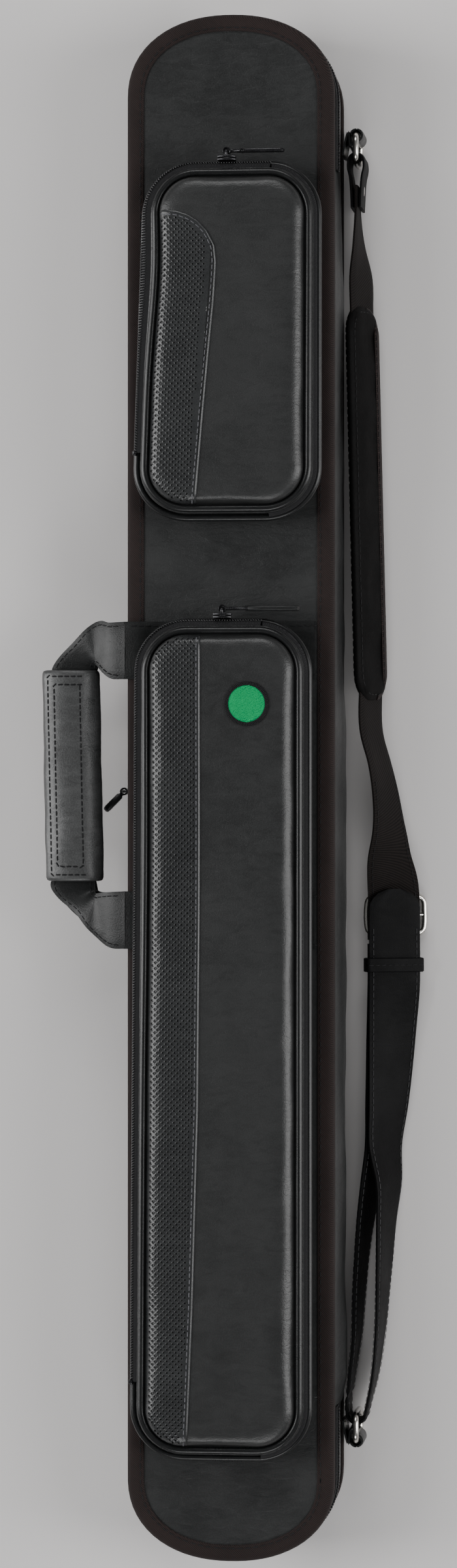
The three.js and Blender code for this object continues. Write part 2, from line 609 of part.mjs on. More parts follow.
// The lower half of the strap: down the inner run, round the ring's bar and back up the outer run.
function lowerStrap() {
  const start = [BUCKLE.y - 16, BUCKLE.x, BUCKLE.tilt, BUCKLE.lift];
  const inner = finer([start, ...STACKED_RUN, ...LOWER_INNER_RUN]);
  const outer = finer([...LOWER_OUTER_RUN, ...STACKED_RUN].sort(([y1], [y2]) => y1 - y2));
  const sections = inner.map((station) => strapSection(station));
  const halfAcross = acrossAt(90).multiplyScalar(STRAP.width / 2);
  for (let step = 0; step <= LOOP_STEPS; step++) {
    const angle = (step / LOOP_STEPS) * Math.PI;
    const inwards = new THREE.Vector3(Math.cos(angle), Math.sin(angle), 0);
    const centre = new THREE.Vector3(RING.x, -STRAP_BAR_Y, RING.z).addScaledVector(inwards, -LOOP_RADIUS);
    sections.push(webSection(centre, halfAcross, inwards.multiplyScalar(STRAP.thick / 2)));
  }
  for (const station of outer) {
    const layer = THREE.MathUtils.clamp((station[0] - OUTER_TOP_Y) / (STACK_LOW_Y - OUTER_TOP_Y), 0, 1);
    sections.push(strapSection(station, layer, -1));
  }
  const tip = [BUCKLE.y + 15, BUCKLE.x, BUCKLE.tilt, BUCKLE.lift];
  sections.push(strapSection(start, 1, -1), strapSection(tip, 1, -1));
  return loft(sections);
}

const barAlongZ = (radius, length) =>
  new THREE.CylinderGeometry(radius, radius, length, 16).rotateX(Math.PI / 2);

// The leather loop, folded round the ring's bar and riveted, that holds the strap's upper end.
function endLoop() {
  const { halfThick, reach, eye, bore } = END_LOOP;
  const half = STRAP.width / 2;
  const tail = box(-halfThick, halfThick, -reach, -halfThick, -half, half);
  return cut(joined(barAlongZ(eye, STRAP.width), tail), barAlongZ(bore, STRAP.width + 2));
}

// The leather tab that holds a ring's inner bar against the spine.
function ringTab() {
  const { half, eye, bore, baseHalf } = RING_TAB;
  const wallX = HINGE_X + 0.6 - RING.x;
  const base = box(wallX, wallX + 1.8, -baseHalf, baseHalf, -half, half);
  const web = box(wallX + 0.5, -1, -3.2, 3.2, -half, half);
  return cut(joined(base, web, barAlongZ(eye, 2 * half)), barAlongZ(bore, RING.height));
}

// A flat oval of round wire in the plane through +Y and +Z.
function ringGeometry() {
  const outer = roundedOutline(RING.depth / 2, RING.height / 2, 5, 0, 4);
  const inner = roundedOutline(RING.depth / 2, RING.height / 2, 5, RING.wire, 4);
  const flat = plate(outer, -RING.wire / 2, RING.wire / 2, inner, 0.9);
  return flat.rotateX(Math.PI / 2).rotateZ(Math.PI / 2);
}

function addRings(parent) {
  for (const [end, side] of [["upper", 1], ["lower", -1]]) {
    const barY = side * RING_BAR_Y;
    addPiece(parent, `${end}_ring_tab`, ringTab(), LEATHER).position.set(RING.x, barY, RING.z);
    const ring = addPiece(parent, `${end}_ring`, ringGeometry(), NICKEL);
    ring.position.set(RING.x, side * (RING_BAR_Y - (RING.depth - RING.wire) / 2), RING.z);
  }
}

// A padded sleeve round the strap.
function shoulderPad() {
  const section = ([y, x], width, thick) => {
    const centre = new THREE.Vector3(x, y, PAD.z);
    const halfAcross = acrossAt(PAD.tilt).multiplyScalar(width / 2);
    return webSection(centre, halfAcross, normalAt(PAD.tilt).multiplyScalar(thick / 2));
  };
  const [[topY, topX], [lowY, lowX]] = PAD_LINE;
  const at = (y) => [y, THREE.MathUtils.mapLinear(y, topY, lowY, topX, lowX)];
  const sleeve = (past, width, thick) =>
    loft([PAD.top + past, PAD.bottom - past].map((y) => section(at(y), width, thick)));
  return cut(sleeve(0, PAD.width, PAD.thick), sleeve(5, PAD.slotW, PAD.slotT));
}

// The buckle lies under the strap. Its prong turns on the centre bar and points to the top end.
function addBuckle(parent) {
  const station = [BUCKLE.y, BUCKLE.x, BUCKLE.tilt, BUCKLE.lift];
  const place = strapCentre(station)
    .addScaledVector(normalAt(BUCKLE.tilt), -BUCKLE.drop)
    .addScaledVector(acrossAt(BUCKLE.tilt), BUCKLE.shift);
  const group = addGroup(parent, place.x, place.y, place.z);
  group.rotation.y = degrees(BUCKLE.tilt);
  const { halfAcross, halfL, wire, corner } = BUCKLE_FRAME;
  const outer = roundedOutline(halfAcross, halfL, corner, 0, 3);
  const inner = roundedOutline(halfAcross, halfL, corner, wire, 3);
  const along = (radius, length) =>
    new THREE.CylinderGeometry(radius, radius, length, 12).rotateZ(Math.PI / 2);
  const rim = plate(outer, -wire / 2, wire / 2, inner, 0.8);
  addPiece(group, "buckle_frame", joined(rim, along(PRONG.bar, 2 * halfAcross - wire)), NICKEL);
  const knuckle = along(PRONG.knuckle, PRONG.width);
  const bore = along(PRONG.bore, PRONG.width + 2);
  const tongueTop = -wire / 2 - HALF_GAP;
  const tongueReach = halfL + 0.6;
  const tongue = box(-PRONG.halfW, PRONG.halfW, PRONG.bore, tongueReach, -PRONG.knuckle, tongueTop);
  addPiece(group, "buckle_prong", cut(joined(knuckle, tongue), bore), NICKEL);
}

// The fixed loop that holds both layers of the strap together below the buckle.
function addKeeper(parent) {
  const station = [KEEPER.y, BUCKLE.x, BUCKLE.tilt, BUCKLE.lift];
  const middle = (STRAP.thick + STRAP.layerGap) / 2;
  const place = strapCentre(station).addScaledVector(normalAt(BUCKLE.tilt), middle);
  const group = addGroup(parent, place.x, place.y, place.z);
  group.rotation.y = degrees(BUCKLE.tilt);
  const halfW = STRAP.width / 2 + KEEPER.clear;
  const halfT = STRAP.thick + STRAP.layerGap / 2 + KEEPER.clear;
  const outer = roundedOutline(halfW + KEEPER.wall, halfT + KEEPER.wall, 1.5, 0, 2);
  const inner = roundedOutline(halfW, halfT, 0.8, 0, 2);
  const loop = plate(outer, -KEEPER.halfL, KEEPER.halfL, inner).rotateX(Math.PI / 2);
  addPiece(group, "strap_keeper", loop, LEATHER);
}

function addShoulderStrap(parent) {
  addRings(parent);
  const loop = addPiece(parent, "strap_end_loop", endLoop(), LEATHER);
  loop.position.set(RING.x, STRAP_BAR_Y, RING.z);
  const dome = new THREE.CylinderGeometry(2.6, 4, 1.3, 16).rotateZ(-Math.PI / 2);
  const rivet = addPiece(parent, "strap_rivet", dome, NICKEL);
  rivet.position.set(RING.x + END_LOOP.halfThick + 0.95, STRAP_BAR_Y - END_LOOP.rivet, RING.z);
  const upperRun = loft(finer(UPPER_RUN).map((station) => strapSection(station)));
  addPiece(parent, "shoulder_strap_upper", upperRun, LEATHER);
  addPiece(parent, "shoulder_strap_lower", lowerStrap(), LEATHER);
  addPiece(parent, "shoulder_pad", shoulderPad(), LEATHER);
  addBuckle(parent);
  addKeeper(parent);
}

const root = new THREE.Group();
addRearShell(root);
addFrontLid(root);
addPocket(root, UPPER_POCKET);
addPocket(root, LOWER_POCKET);
addBadge(root);
addSliders(root);
addHandle(root);
addShoulderStrap(root);

export default root;
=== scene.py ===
"""Looks of a soft cue case lying on its back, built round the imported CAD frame.

Shapes are worked out in millimetres in the frame's own axes: +Y to the top end, +X to the spine,
+Z out of the front. Every piece is turned into metres when its mesh is made.
"""

import json
import math

import bmesh
import bpy
import numpy as np
from mathutils import Matrix, Vector, noise
from mathutils.bvhtree import BVHTree


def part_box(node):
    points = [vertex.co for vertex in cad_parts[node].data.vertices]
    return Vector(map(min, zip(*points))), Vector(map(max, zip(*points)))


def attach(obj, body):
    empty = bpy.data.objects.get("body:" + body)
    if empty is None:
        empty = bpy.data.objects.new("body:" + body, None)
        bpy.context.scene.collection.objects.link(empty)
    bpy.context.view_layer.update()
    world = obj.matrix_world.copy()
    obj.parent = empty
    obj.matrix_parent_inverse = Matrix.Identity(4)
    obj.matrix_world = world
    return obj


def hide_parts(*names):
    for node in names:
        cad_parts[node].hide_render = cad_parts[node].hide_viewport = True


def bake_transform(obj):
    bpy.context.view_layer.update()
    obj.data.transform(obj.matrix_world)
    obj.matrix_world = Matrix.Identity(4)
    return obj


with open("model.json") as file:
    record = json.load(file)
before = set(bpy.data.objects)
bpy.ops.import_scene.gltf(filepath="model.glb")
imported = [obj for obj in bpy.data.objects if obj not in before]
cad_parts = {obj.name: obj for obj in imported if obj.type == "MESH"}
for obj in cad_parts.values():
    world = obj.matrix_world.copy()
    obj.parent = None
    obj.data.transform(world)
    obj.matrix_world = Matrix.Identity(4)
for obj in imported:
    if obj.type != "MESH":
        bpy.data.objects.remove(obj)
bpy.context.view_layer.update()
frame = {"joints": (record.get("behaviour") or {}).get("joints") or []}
MM = 0.001
X_AXIS, Y_AXIS, Z_AXIS = np.eye(3)

# The case's outline in plan: each end is half a superellipse.
HALF_W = 58.0
END_DEPTH = 46.0
END_POWER = 2.2
STRAIGHT_Y = 384.0
ZIP_END_Y = 345.0

POCKET_CORNER = 30.0
INLAY_OUT = 9.6
RING_BAR_Y = 367.0


def low(node):
    return np.array(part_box(node)[0]) / MM


def high(node):
    return np.array(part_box(node)[1]) / MM


def middle(node):
    return (low(node) + high(node)) / 2


def joint_place(name):
    """A point on a hinge's axis, in millimetres."""
    return np.array([j["pos_m"] for j in frame["joints"] if j["name"] == name][0]) / MM


# ---- Mesh helpers ------------------------------------------------------------------------------


# How the soft pockets have settled: the left side's shift at mid length, how much more it shifts
# towards the top end, and how far the lid alone has crept inwards.
SETTLED = {"upper_pocket": (-2.0, 3.4, 3.0), "lower_pocket": (-1.0, 1.4, 0.8)}


def settled(points, name):
    """Moves the points of a pocket's soft pieces from their even shape to their settled one."""
    points = np.array(points, float)
    pocket = name[:12]
    if pocket not in SETTLED or "slider" in name:
        return points
    shift, lean, creep = SETTLED[pocket]
    lo, hi = low(f"{pocket}_base_piping"), high(f"{pocket}_base_piping")
    u = np.clip((points[:, 0] - lo[0]) / (hi[0] - lo[0]), 0, 1)
    v = 2 * (points[:, 1] - lo[1]) / (hi[1] - lo[1]) - 1
    seam = high(f"{pocket}_zip_base")[2]
    risen = np.clip((points[:, 2] - seam - 0.8) / 1.5, 0, 1)
    leftness = (1 - u) ** 1.5
    points[:, 0] += (shift + lean * v) * (1 - u)
    points[:, 0] += creep * np.exp(-((v - 0.4) / 0.42) ** 2) * leftness * risen
    return points


def make(name, points, faces, look, body=None, stands_for=(), sharp=40, weld=0.0):
    """A mesh object from points in millimetres, with its material and body. Points closer than weld
    are joined, and edges that fold by more than sharp degrees stay crisp."""
    mesh = bpy.data.meshes.new(name)
    points = settled(points, name)
    mesh.from_pydata([tuple(p) for p in points * MM], [], faces)
    bm = bmesh.new()
    bm.from_mesh(mesh)
    if weld:
        bmesh.ops.remove_doubles(bm, verts=bm.verts, dist=weld * MM)
        bmesh.ops.dissolve_degenerate(bm, edges=bm.edges, dist=1e-7)
    loose = [v for v in bm.verts if not v.link_faces]
    bmesh.ops.delete(bm, geom=loose, context="VERTS")
    bmesh.ops.recalc_face_normals(bm, faces=bm.faces)
    bm.to_mesh(mesh)
    bm.free()
    mesh.shade_smooth()
    mesh.set_sharp_from_angle(angle=math.radians(sharp))
    piece = bpy.data.objects.new(name, mesh)
    bpy.context.scene.collection.objects.link(piece)
    mesh.materials.append(look.material)
    if stands_for:
        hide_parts(*stands_for)
    if body:
        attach(piece, body)
    return piece


def skin(rings, loop=False, caps=False):
    """Points and faces of the surface through closed rings of points. loop joins the last ring to
    the first, and caps closes the two end rings."""
    rings = np.asarray(rings, float)
    rows, count = rings.shape[:2]
    faces = []
    for r in range(rows if loop else rows - 1):
        a, b = r * count, ((r + 1) % rows) * count
        for k in range(count):
            n = (k + 1) % count
            faces.append((a + k, a + n, b + n, b + k))
    if caps:
        faces.append(tuple(range(count))[::-1])
        faces.append(tuple((rows - 1) * count + k for k in range(count)))
    return rings.reshape(-1, 3), faces


def merged(parts):
    """One list of points and one of faces from several."""
    points, faces, start = [], [], 0
    for some_points, some_faces in parts:
        points.append(np.asarray(some_points, float))
        faces += [tuple(i + start for i in face) for face in some_faces]
        start += len(some_points)
    return np.concatenate(points), faces


def ripple(points, size, depth, seed=0.0):
    """A smooth random height for each point, between about -depth and depth."""
    return np.array([
        depth * noise.noise(Vector((p[0] / size + seed, p[1] / size, p[2] / size))) for p in points
    ])


def even(points, step, closed):
    """Points spaced evenly along a polyline, about step apart."""
    points = np.asarray(points, float)
    if closed:
        points = np.vstack([points, points[:1]])
    lengths = np.linalg.norm(np.diff(points, axis=0), axis=1)
    along = np.concatenate([[0], np.cumsum(lengths)])
    count = max(int(round(along[-1] / step)), 2)
    at = np.linspace(0, along[-1], count + 1)
    if closed:
        at = at[:-1]
    return np.column_stack([np.interp(at, along, points[:, i]) for i in range(points.shape[1])])


def smooth_rows(rows, step):
    """A smooth curve through rows of numbers, with rows about step apart. The first three numbers
    of a row are its place, and the others are carried along."""
    rows = np.asarray(rows, float)
    gaps = np.maximum(np.linalg.norm(np.diff(rows[:, :3], axis=0), axis=1), 1e-6)
    slopes = np.diff(rows, axis=0) / gaps[:, None]
    before, after = np.vstack([slopes[:1], slopes]), np.vstack([slopes, slopes[-1:]])
    gap_before, gap_after = np.append(gaps[0], gaps), np.append(gaps, gaps[-1])
    shares = (gap_before / (gap_before + gap_after))[:, None]
    tangents = before * (1 - shares) + after * shares
    result = []
    for i, gap in enumerate(gaps):
        count = max(int(math.ceil(gap / step)), 1)
        for t in np.arange(count) / count:
            result.append(
                rows[i] * (2 * t ** 3 - 3 * t * t + 1) + rows[i + 1] * (3 * t * t - 2 * t ** 3)
                + tangents[i] * gap * (t ** 3 - 2 * t * t + t)
                + tangents[i + 1] * gap * (t ** 3 - t * t)
            )
    result.append(rows[-1])
    return np.array(result)


def unit(vectors):
    """Rows of vectors, each made one long."""
    return vectors / np.linalg.norm(vectors, axis=1)[:, None]


def full_turn(count):
    """Angles evenly spaced round a full turn."""
    return np.arange(count) * 2 * math.pi / count


def outward(path):
    """The unit normals of a closed plan path that runs anticlockwise."""
    along = np.roll(path, -1, axis=0) - np.roll(path, 1, axis=0)
    return unit(np.column_stack([along[:, 1], -along[:, 0]]))


def from_first(keep):
    """The indices where keep is true, in order round a closed path, from the start of their run."""
    first = int(np.argmax(keep & ~np.roll(keep, 1)))
    order = np.roll(np.arange(len(keep)), -first)
    return order[keep[order]]


def part_of(path, keep):
    """The points of a closed plan path that are kept, in order, with their outward normals."""
    order = from_first(keep)
    return path[order], outward(path)[order]


def profile_rings(path, normals, profile):
    """A profile of (offset outwards, height) pairs carried along a plan path."""
    return [[(*(p + normal * out), z) for out, z in profile] for p, normal in zip(path, normals)]


def sweep(path, profile):
    """A profile carried right round a closed plan path."""
    return skin(profile_rings(path, outward(path), profile), loop=True)


def ribbon(path, normals, profile):
    """A profile carried along an open plan path, with its two ends closed."""
    return skin(profile_rings(path, normals, profile), caps=True)


def rod(path, radius, closed=False, count=10, up=Z_AXIS):
    """Points and faces of a round bar along a 3-D path. radius may vary along it."""
    path = np.asarray(path, float)
    if closed:
        tangents = unit(np.roll(path, -1, axis=0) - np.roll(path, 1, axis=0))
    else:
        tangents = unit(np.gradient(path, axis=0))
    side = np.array(up, float)
    if abs(tangents[0] @ side) > 0.9:
        side = X_AXIS
    rings = []
    for point, ahead, r in zip(path, tangents, np.broadcast_to(radius, len(path))):
        side = side - ahead * (side @ ahead)
        side = side / np.linalg.norm(side)
        other = np.cross(ahead, side)
        rings.append([
            point + side * (r * math.cos(t)) + other * (r * math.sin(t)) for t in full_turn(count)
        ])
    return skin(rings, loop=closed, caps=not closed)


def tube_profile(radius, out, z, flat, count=14):
    """A round section, flattened in height."""
    return [(out + radius * math.cos(a), z + flat * radius * math.sin(a)) for a in full_turn(count)]


def case_ring(inset, along_step=6.0, end_steps=14):
    """The case's outline in plan, moved inwards. Every inset gives the same number of points."""
    half = HALF_W - inset
    depth = END_DEPTH - inset if inset < 12 else (END_DEPTH - 12) * half / (HALF_W - 12)
    count = int(2 * STRAIGHT_Y / along_step)
    right = [(half, y) for y in np.linspace(-STRAIGHT_Y, STRAIGHT_Y, count + 1)]
    power = 2 / END_POWER
    top = []
    for angle in np.linspace(0, math.pi, 2 * end_steps + 1)[1:-1]:
        c, s = math.cos(angle), math.sin(angle)
        top.append((math.copysign(half * abs(c) ** power, c), STRAIGHT_Y + depth * s ** power))
    left = [(-x, -y) for x, y in right]
    bottom = [(-x, -y) for x, y in top]
    return np.array(right + top + left + bottom)


def case_path(step):
    """The case's outline in plan, finely and evenly spaced, anticlockwise from the lower right."""
    return even(case_ring(0, along_step=2, end_steps=60), step, closed=True)


def pocket_ring(pocket, inset, along=5.0, around=9):
    """A pocket's outline in plan, moved inwards. Every inset gives the same number of points."""
    half_w, half_l = pocket["half"]
    radius = POCKET_CORNER - inset
    if inset > 14:
        radius = max((POCKET_CORNER - 14) * (half_w - inset) / (half_w - 14), 0.01)
    half_w, half_l = half_w - inset, half_l - inset
    points = []
    long_count, short_count = int(2 * pocket["half"][1] / along), int(2 * pocket["half"][0] / along)
    for side in range(4):
        angle = side * math.pi / 2
        ux, uy = math.cos(angle), math.sin(angle)
        reach, run = (half_w, half_l - radius) if side % 2 == 0 else (half_l, half_w - radius)
        count = long_count if side % 2 == 0 else short_count
        for s in np.linspace(-run, run, count + 1):
            points.append((ux * reach - uy * s, uy * reach + ux * s))
        corner = np.array([ux * (reach - radius) - uy * run, uy * (reach - radius) + ux * run])
        for turn in angle + np.linspace(0, math.pi / 2, around + 1)[1:-1]:
            points.append(corner + radius * np.array([math.cos(turn), math.sin(turn)]))
    return np.array(points) + pocket["centre"]


def pocket_path(pocket, step):
    """A pocket's outline in plan with round corners, evenly spaced, anticlockwise."""
    return even(pocket_ring(pocket, 0, along=2, around=20), step, closed=True)


def levels(ring, profile):
    """Plan rings stacked up: profile lists each one's (inset, height)."""
    return np.array([np.column_stack([ring(i), np.full(len(ring(i)), z)]) for i, z in profile])


def crowned(ring, profile, look, name, body, stands_for=(), bump=None):
    """A closed pad through plan rings, from the middle of one face to the middle of the other."""
    rings = levels(ring, profile)
    points, faces = skin(bump(rings) if bump else rings)
    return make(name, points, faces, look, body, stands_for, weld=0.02, sharp=50)


# ---- Materials ---------------------------------------------------------------------------------


class Look:
    """A material and the record's slot it stands for."""

    def __init__(self, name, slot):
        self.slot = slot
        self.material = bpy.data.materials.new(name)
        self.material.use_nodes = True
        self.nodes = self.material.node_tree.nodes
        self.links = self.material.node_tree.links
        self.shader = self.nodes["Principled BSDF"]
        self.place = self.nodes.new("ShaderNodeTexCoord").outputs["Object"]
        self.bumps = None

    def set(self, **values):
        for label, value in values.items():
            self.shader.inputs[label.replace("_", " ")].default_value = value

    def node(self, kind, inputs=None, **settings):
        made = self.nodes.new("ShaderNode" + kind)
        for label, value in settings.items():
            setattr(made, label, value)
        for label, value in (inputs or {}).items():
            if hasattr(value, "is_linked"):
                self.links.new(value, made.inputs[label])
            else:
                made.inputs[label].default_value = value
        return made

    def stretched(self, scale):
        return self.node("Mapping", {"Vector": self.place, "Scale": scale}).outputs["Vector"]

    def noise(self, scale, detail=3.0, rough=0.5, distort=0.0, vector=None):
        return self.node("TexNoise", {
            "Vector": vector or self.place, "Scale": scale, "Detail": detail, "Roughness": rough,
            "Distortion": distort,
        }).outputs["Fac"]

    def cells(self, scale):
        return self.node("TexVoronoi", {"Vector": self.place, "Scale": scale}).outputs["Distance"]

    def spread(self, value, low, high, to_low=0.0, to_high=1.0):
        return self.node("MapRange", {
            "Value": value, "From Min": low, "From Max": high, "To Min": to_low, "To Max": to_high,
        }).outputs["Result"]

    def combine(self, operation, first, second):
        return self.node("Math", {0: first, 1: second}, operation=operation).outputs[0]

    def scaled(self, value, factor):
        return self.combine("MULTIPLY", value, factor)

    def total(self, first, second):
        return self.combine("ADD", first, second)

    def tint(self, factor, dark, light):
        """Mixes the base colour. A colour Mix node has its factor, colours and result at these
        places among its sockets."""
        factor_at, dark_at, light_at, result_at = 0, 6, 7, 2
        made = self.node("Mix", {factor_at: factor, dark_at: (*dark, 1), light_at: (*light, 1)},
                         data_type="RGBA")
        self.links.new(made.outputs[result_at], self.shader.inputs["Base Color"])

    def roughen(self, factor, smoothest, roughest):
        result = self.spread(factor, 0.25, 0.75, smoothest, roughest)
        self.links.new(result, self.shader.inputs["Roughness"])

    def bump(self, height, depth, strength=1.0):
        """Adds a layer of relief, depth millimetres deep, on top of the ones before."""
        made = self.node("Bump", {"Height": height, "Distance": depth * MM, "Strength": strength})
        if self.bumps is not None:
            self.links.new(self.bumps, made.inputs["Normal"])
        self.bumps = made.outputs["Normal"]
        self.links.new(self.bumps, self.shader.inputs["Normal"])


# How deep the crease lines are as a share of the folds, and how deep the pores are in millimetres.
LINE_SHARE = 0.14
PORE_DEPTH = 0.012


def leather(name, slot, dark, light, smoothest, roughest, grain=0.045, crease=0.3, shine=0.42):
    """Grained leather. grain and crease are the depths of its pebbles and folds in millimetres."""
    look = Look(name, slot)
    patches = look.noise(14, detail=4, rough=0.6, distort=0.4)
    pebbles = look.cells(1300)
    pulled = look.stretched((0.5, 1.3, 1))
    folds = look.noise(150, detail=4, rough=0.55, distort=1.2, vector=pulled)
    worn = look.total(look.scaled(patches, 0.6), look.scaled(folds, 0.5))
    mixed = look.total(worn, look.scaled(pebbles, 0.3))
    look.tint(look.spread(mixed, 0.46, 0.82), dark, light)
    look.roughen(look.noise(40, detail=5, rough=0.65), smoothest, roughest)
    look.bump(folds, crease)
    # Thin crease lines, which come in patches.
    winding = look.noise(38, detail=5, rough=0.6, distort=2.2, vector=pulled)
    line = look.spread(look.combine("ABSOLUTE", look.total(winding, -0.5), 0), 0.0, 0.08)
    patch = look.spread(look.noise(9, detail=2), 0.45, 0.62)
    creases = look.combine("MULTIPLY", look.total(line, -1.0), patch)
    look.bump(look.total(creases, 1.0), LINE_SHARE * crease)
    look.bump(look.scaled(pebbles, -1.0), grain)
    look.bump(look.noise(2600, detail=2), PORE_DEPTH)
    look.set(Specular_IOR_Level=shine)
    return look


# The scale that puts the ribs of a diagonal band texture 1 m apart on a flat face.
RIB_SCALE = 0.444


def woven(name, slot, dark, light, period, roughness, depth=0.12, sheen=0.03, shine=0.15):
    """Tape, webbing or thread with a diagonal rib, which shows on flat faces and on edges. period
    and depth are the rib's, in millimetres."""
    look = Look(name, slot)
    ribs = look.node("TexWave", {
        "Vector": look.place, "Scale": RIB_SCALE / (period * MM), "Distortion": 0.6,
        "Detail": 1.0, "Detail Scale": 3.0,
    }, wave_type="BANDS", bands_direction="DIAGONAL").outputs["Fac"]
    fibres = look.noise(3000, detail=2)
    worn = look.noise(30, detail=4, rough=0.7)
    mixed = look.total(look.scaled(ribs, 0.6), look.scaled(worn, 0.6))
    look.tint(look.spread(mixed, 0.2, 1.0), dark, light)
    look.roughen(fibres, roughness - 0.08, roughness + 0.05)
    look.bump(ribs, depth)
    look.bump(fibres, 0.06)
    look.set(Sheen_Weight=sheen, Sheen_Roughness=0.5, Specular_IOR_Level=shine)
    return look


def moulded(name, slot, dark, light, smoothest, roughest, metallic=0.0, wear=0.04):
    """Metal or hard plastic, with scuffs of a depth in millimetres."""
    look = Look(name, slot)
    scuffs = look.noise(180, detail=6, rough=0.7)
    look.tint(look.spread(scuffs, 0.35, 0.7), dark, light)
    look.roughen(look.noise(60, detail=5, rough=0.7), smoothest, roughest)
    look.bump(scuffs, wear)
    look.set(Metallic=metallic)
    return look


LEATHER = leather("panel_leather", "leather", (0.0055, 0.0058, 0.0058), (0.0152, 0.0158, 0.0158),
                  0.32, 0.46, crease=0.3, shine=0.36)
CUSHION = leather("cushion_leather", "leather", (0.0057, 0.006, 0.006), (0.015, 0.0155, 0.0155),
                  0.34, 0.42, crease=0.2)
STRAP = leather("strap_leather", "strap_leather", (0.0036, 0.0039, 0.0039), (0.0105, 0.011, 0.011),
                0.3, 0.44, grain=0.05, crease=0.12, shine=0.22)
GRIP = leather("grip_leather", "strap_leather", (0.0125, 0.013, 0.013), (0.043, 0.044, 0.044), 0.36,
               0.48, grain=0.05, crease=0.2, shine=0.5)
DARK_STRAP = leather("shoulder_leather", "strap_leather", (0.0014, 0.0014, 0.0015),
                     (0.0042, 0.0042, 0.0044), 0.46, 0.6, grain=0.04, crease=0.1, shine=0.06)
WEBBING = woven("shoulder_webbing", "strap_leather", (0.002, 0.0016, 0.0015),
                (0.0105, 0.0082, 0.0075), 1.1, 0.75, shine=0.06)
# Near-black leather for the shoulder pad and its inner edge. This is painted shade: the dark of the
# shade the pad lies in is put into its base colour.
SHADED_PAD = leather("pad_leather", "strap_leather", (0.001, 0.001, 0.001), (0.0034, 0.0032, 0.0032),
                   0.5, 0.65, grain=0.05, crease=0.15, shine=0.05)
GLOSSY = leather("perforated_leather", "perforated_leather", (0.0075, 0.008, 0.0085),
                 (0.018, 0.019, 0.0195), 0.29, 0.34, grain=0.03, crease=0.05, shine=0.42)
PIPING = leather("piping_vinyl", "piping", (0.0025, 0.0028, 0.003), (0.0075, 0.0078, 0.008), 0.24,
                 0.34, grain=0.012, crease=0.05, shine=0.3)
TWILL = woven("edge_twill", "twill", (0.0036, 0.0025, 0.0023), (0.022, 0.014, 0.013), 0.85, 0.8)
DARK_TAPE = woven("zip_tape", "zip", (0.004, 0.004, 0.0045), (0.016, 0.016, 0.017), 0.6, 0.8)
TEETH = moulded("zip_coil", "zip", (0.008, 0.008, 0.009), (0.022, 0.022, 0.023), 0.22, 0.4)
THREAD = woven("dark_thread", "strap_leather", (0.003, 0.003, 0.0033), (0.012, 0.012, 0.013), 0.35,
               0.6, depth=0.08)
SHINY_THREAD = woven("shiny_thread", "strap_leather", (0.03, 0.03, 0.034), (0.09, 0.09, 0.10), 0.35,
                     0.42, depth=0.06, shine=0.5)
GREY_THREAD = woven("grey_thread", "strap_leather", (0.012, 0.012, 0.013), (0.04, 0.04, 0.043), 0.35,
                    0.5, depth=0.06, shine=0.3)
GREEN = woven("green_thread", "green_thread", (0.0, 0.16, 0.045), (0.0, 0.40, 0.135), 0.45, 0.7,
              depth=0.12, shine=0.1)
BLACK_METAL = moulded("black_metal", "black_metal", (0.008, 0.008, 0.009), (0.03, 0.03, 0.032), 0.16,
                      0.36, metallic=0.7, wear=0.03)
NICKEL = moulded("nickel", "nickel", (0.52, 0.50, 0.46), (0.72, 0.70, 0.66), 0.12, 0.3, metallic=1.0,
                 wear=0.02)


def plush():
    """The soft lining's pile."""
    look = Look("plush_lining", "lining")
    tufts = look.noise(1500, detail=4, rough=0.8)
    nap = look.noise(35, detail=4, rough=0.6, distort=0.5)
    look.tint(look.spread(nap, 0.3, 0.7), (0.008, 0.008, 0.010), (0.028, 0.028, 0.032))
    look.roughen(tufts, 0.85, 1.0)
    look.bump(tufts, 0.35)
    look.bump(nap, 1.0)
    look.set(Sheen_Weight=0.6, Sheen_Roughness=0.6)
    return look


PLUSH = plush()


def floor_look():
    """The studio floor, a pale warm grey. It stands for no slot of the record."""
    look = Look("studio_floor", "")
    grain = look.noise(6, detail=3)
    look.tint(grain, (0.50, 0.485, 0.48), (0.54, 0.525, 0.52))
    look.roughen(grain, 0.8, 0.9)
    return look


# ---- Camera, lights and floor ------------------------------------------------------------------

# These are in metres: the point that the camera looks at, its place, and how much of the plane
# through that point it takes in from top to bottom.
AIM = Vector((-0.0011, 0.0022, 0.072))
CAMERA_PLACE = Vector((0.270, 0.0022, 2.670))
FRAME_HEIGHT = 0.871
SENSOR = 36.0
# Each softbox: place, the point it faces and size in metres, and power in watts.
SOFTBOXES = {
    "left": ((-4.1, 0.2, 2.25), (0, 0, 0.05), (1.9, 5.8), 310),
    "right": ((4.1, -0.2, 2.0), (0, 0, 0.05), (1.9, 5.8), 253),
    "top": ((-0.2, 5.0, 4.1), (0, 0.1, 0), (3.4, 1.9), 155),
    "bottom": ((0.2, -5.0, 3.9), (0, -0.1, 0), (3.4, 1.9), 155),
}
SKY_COLOUR = (0.75, 0.76, 0.78, 1)
SKY_STRENGTH = 0.22
# In millimetres.
FLOOR_REACH = 30000.0
FLOOR_DROP = 0.05


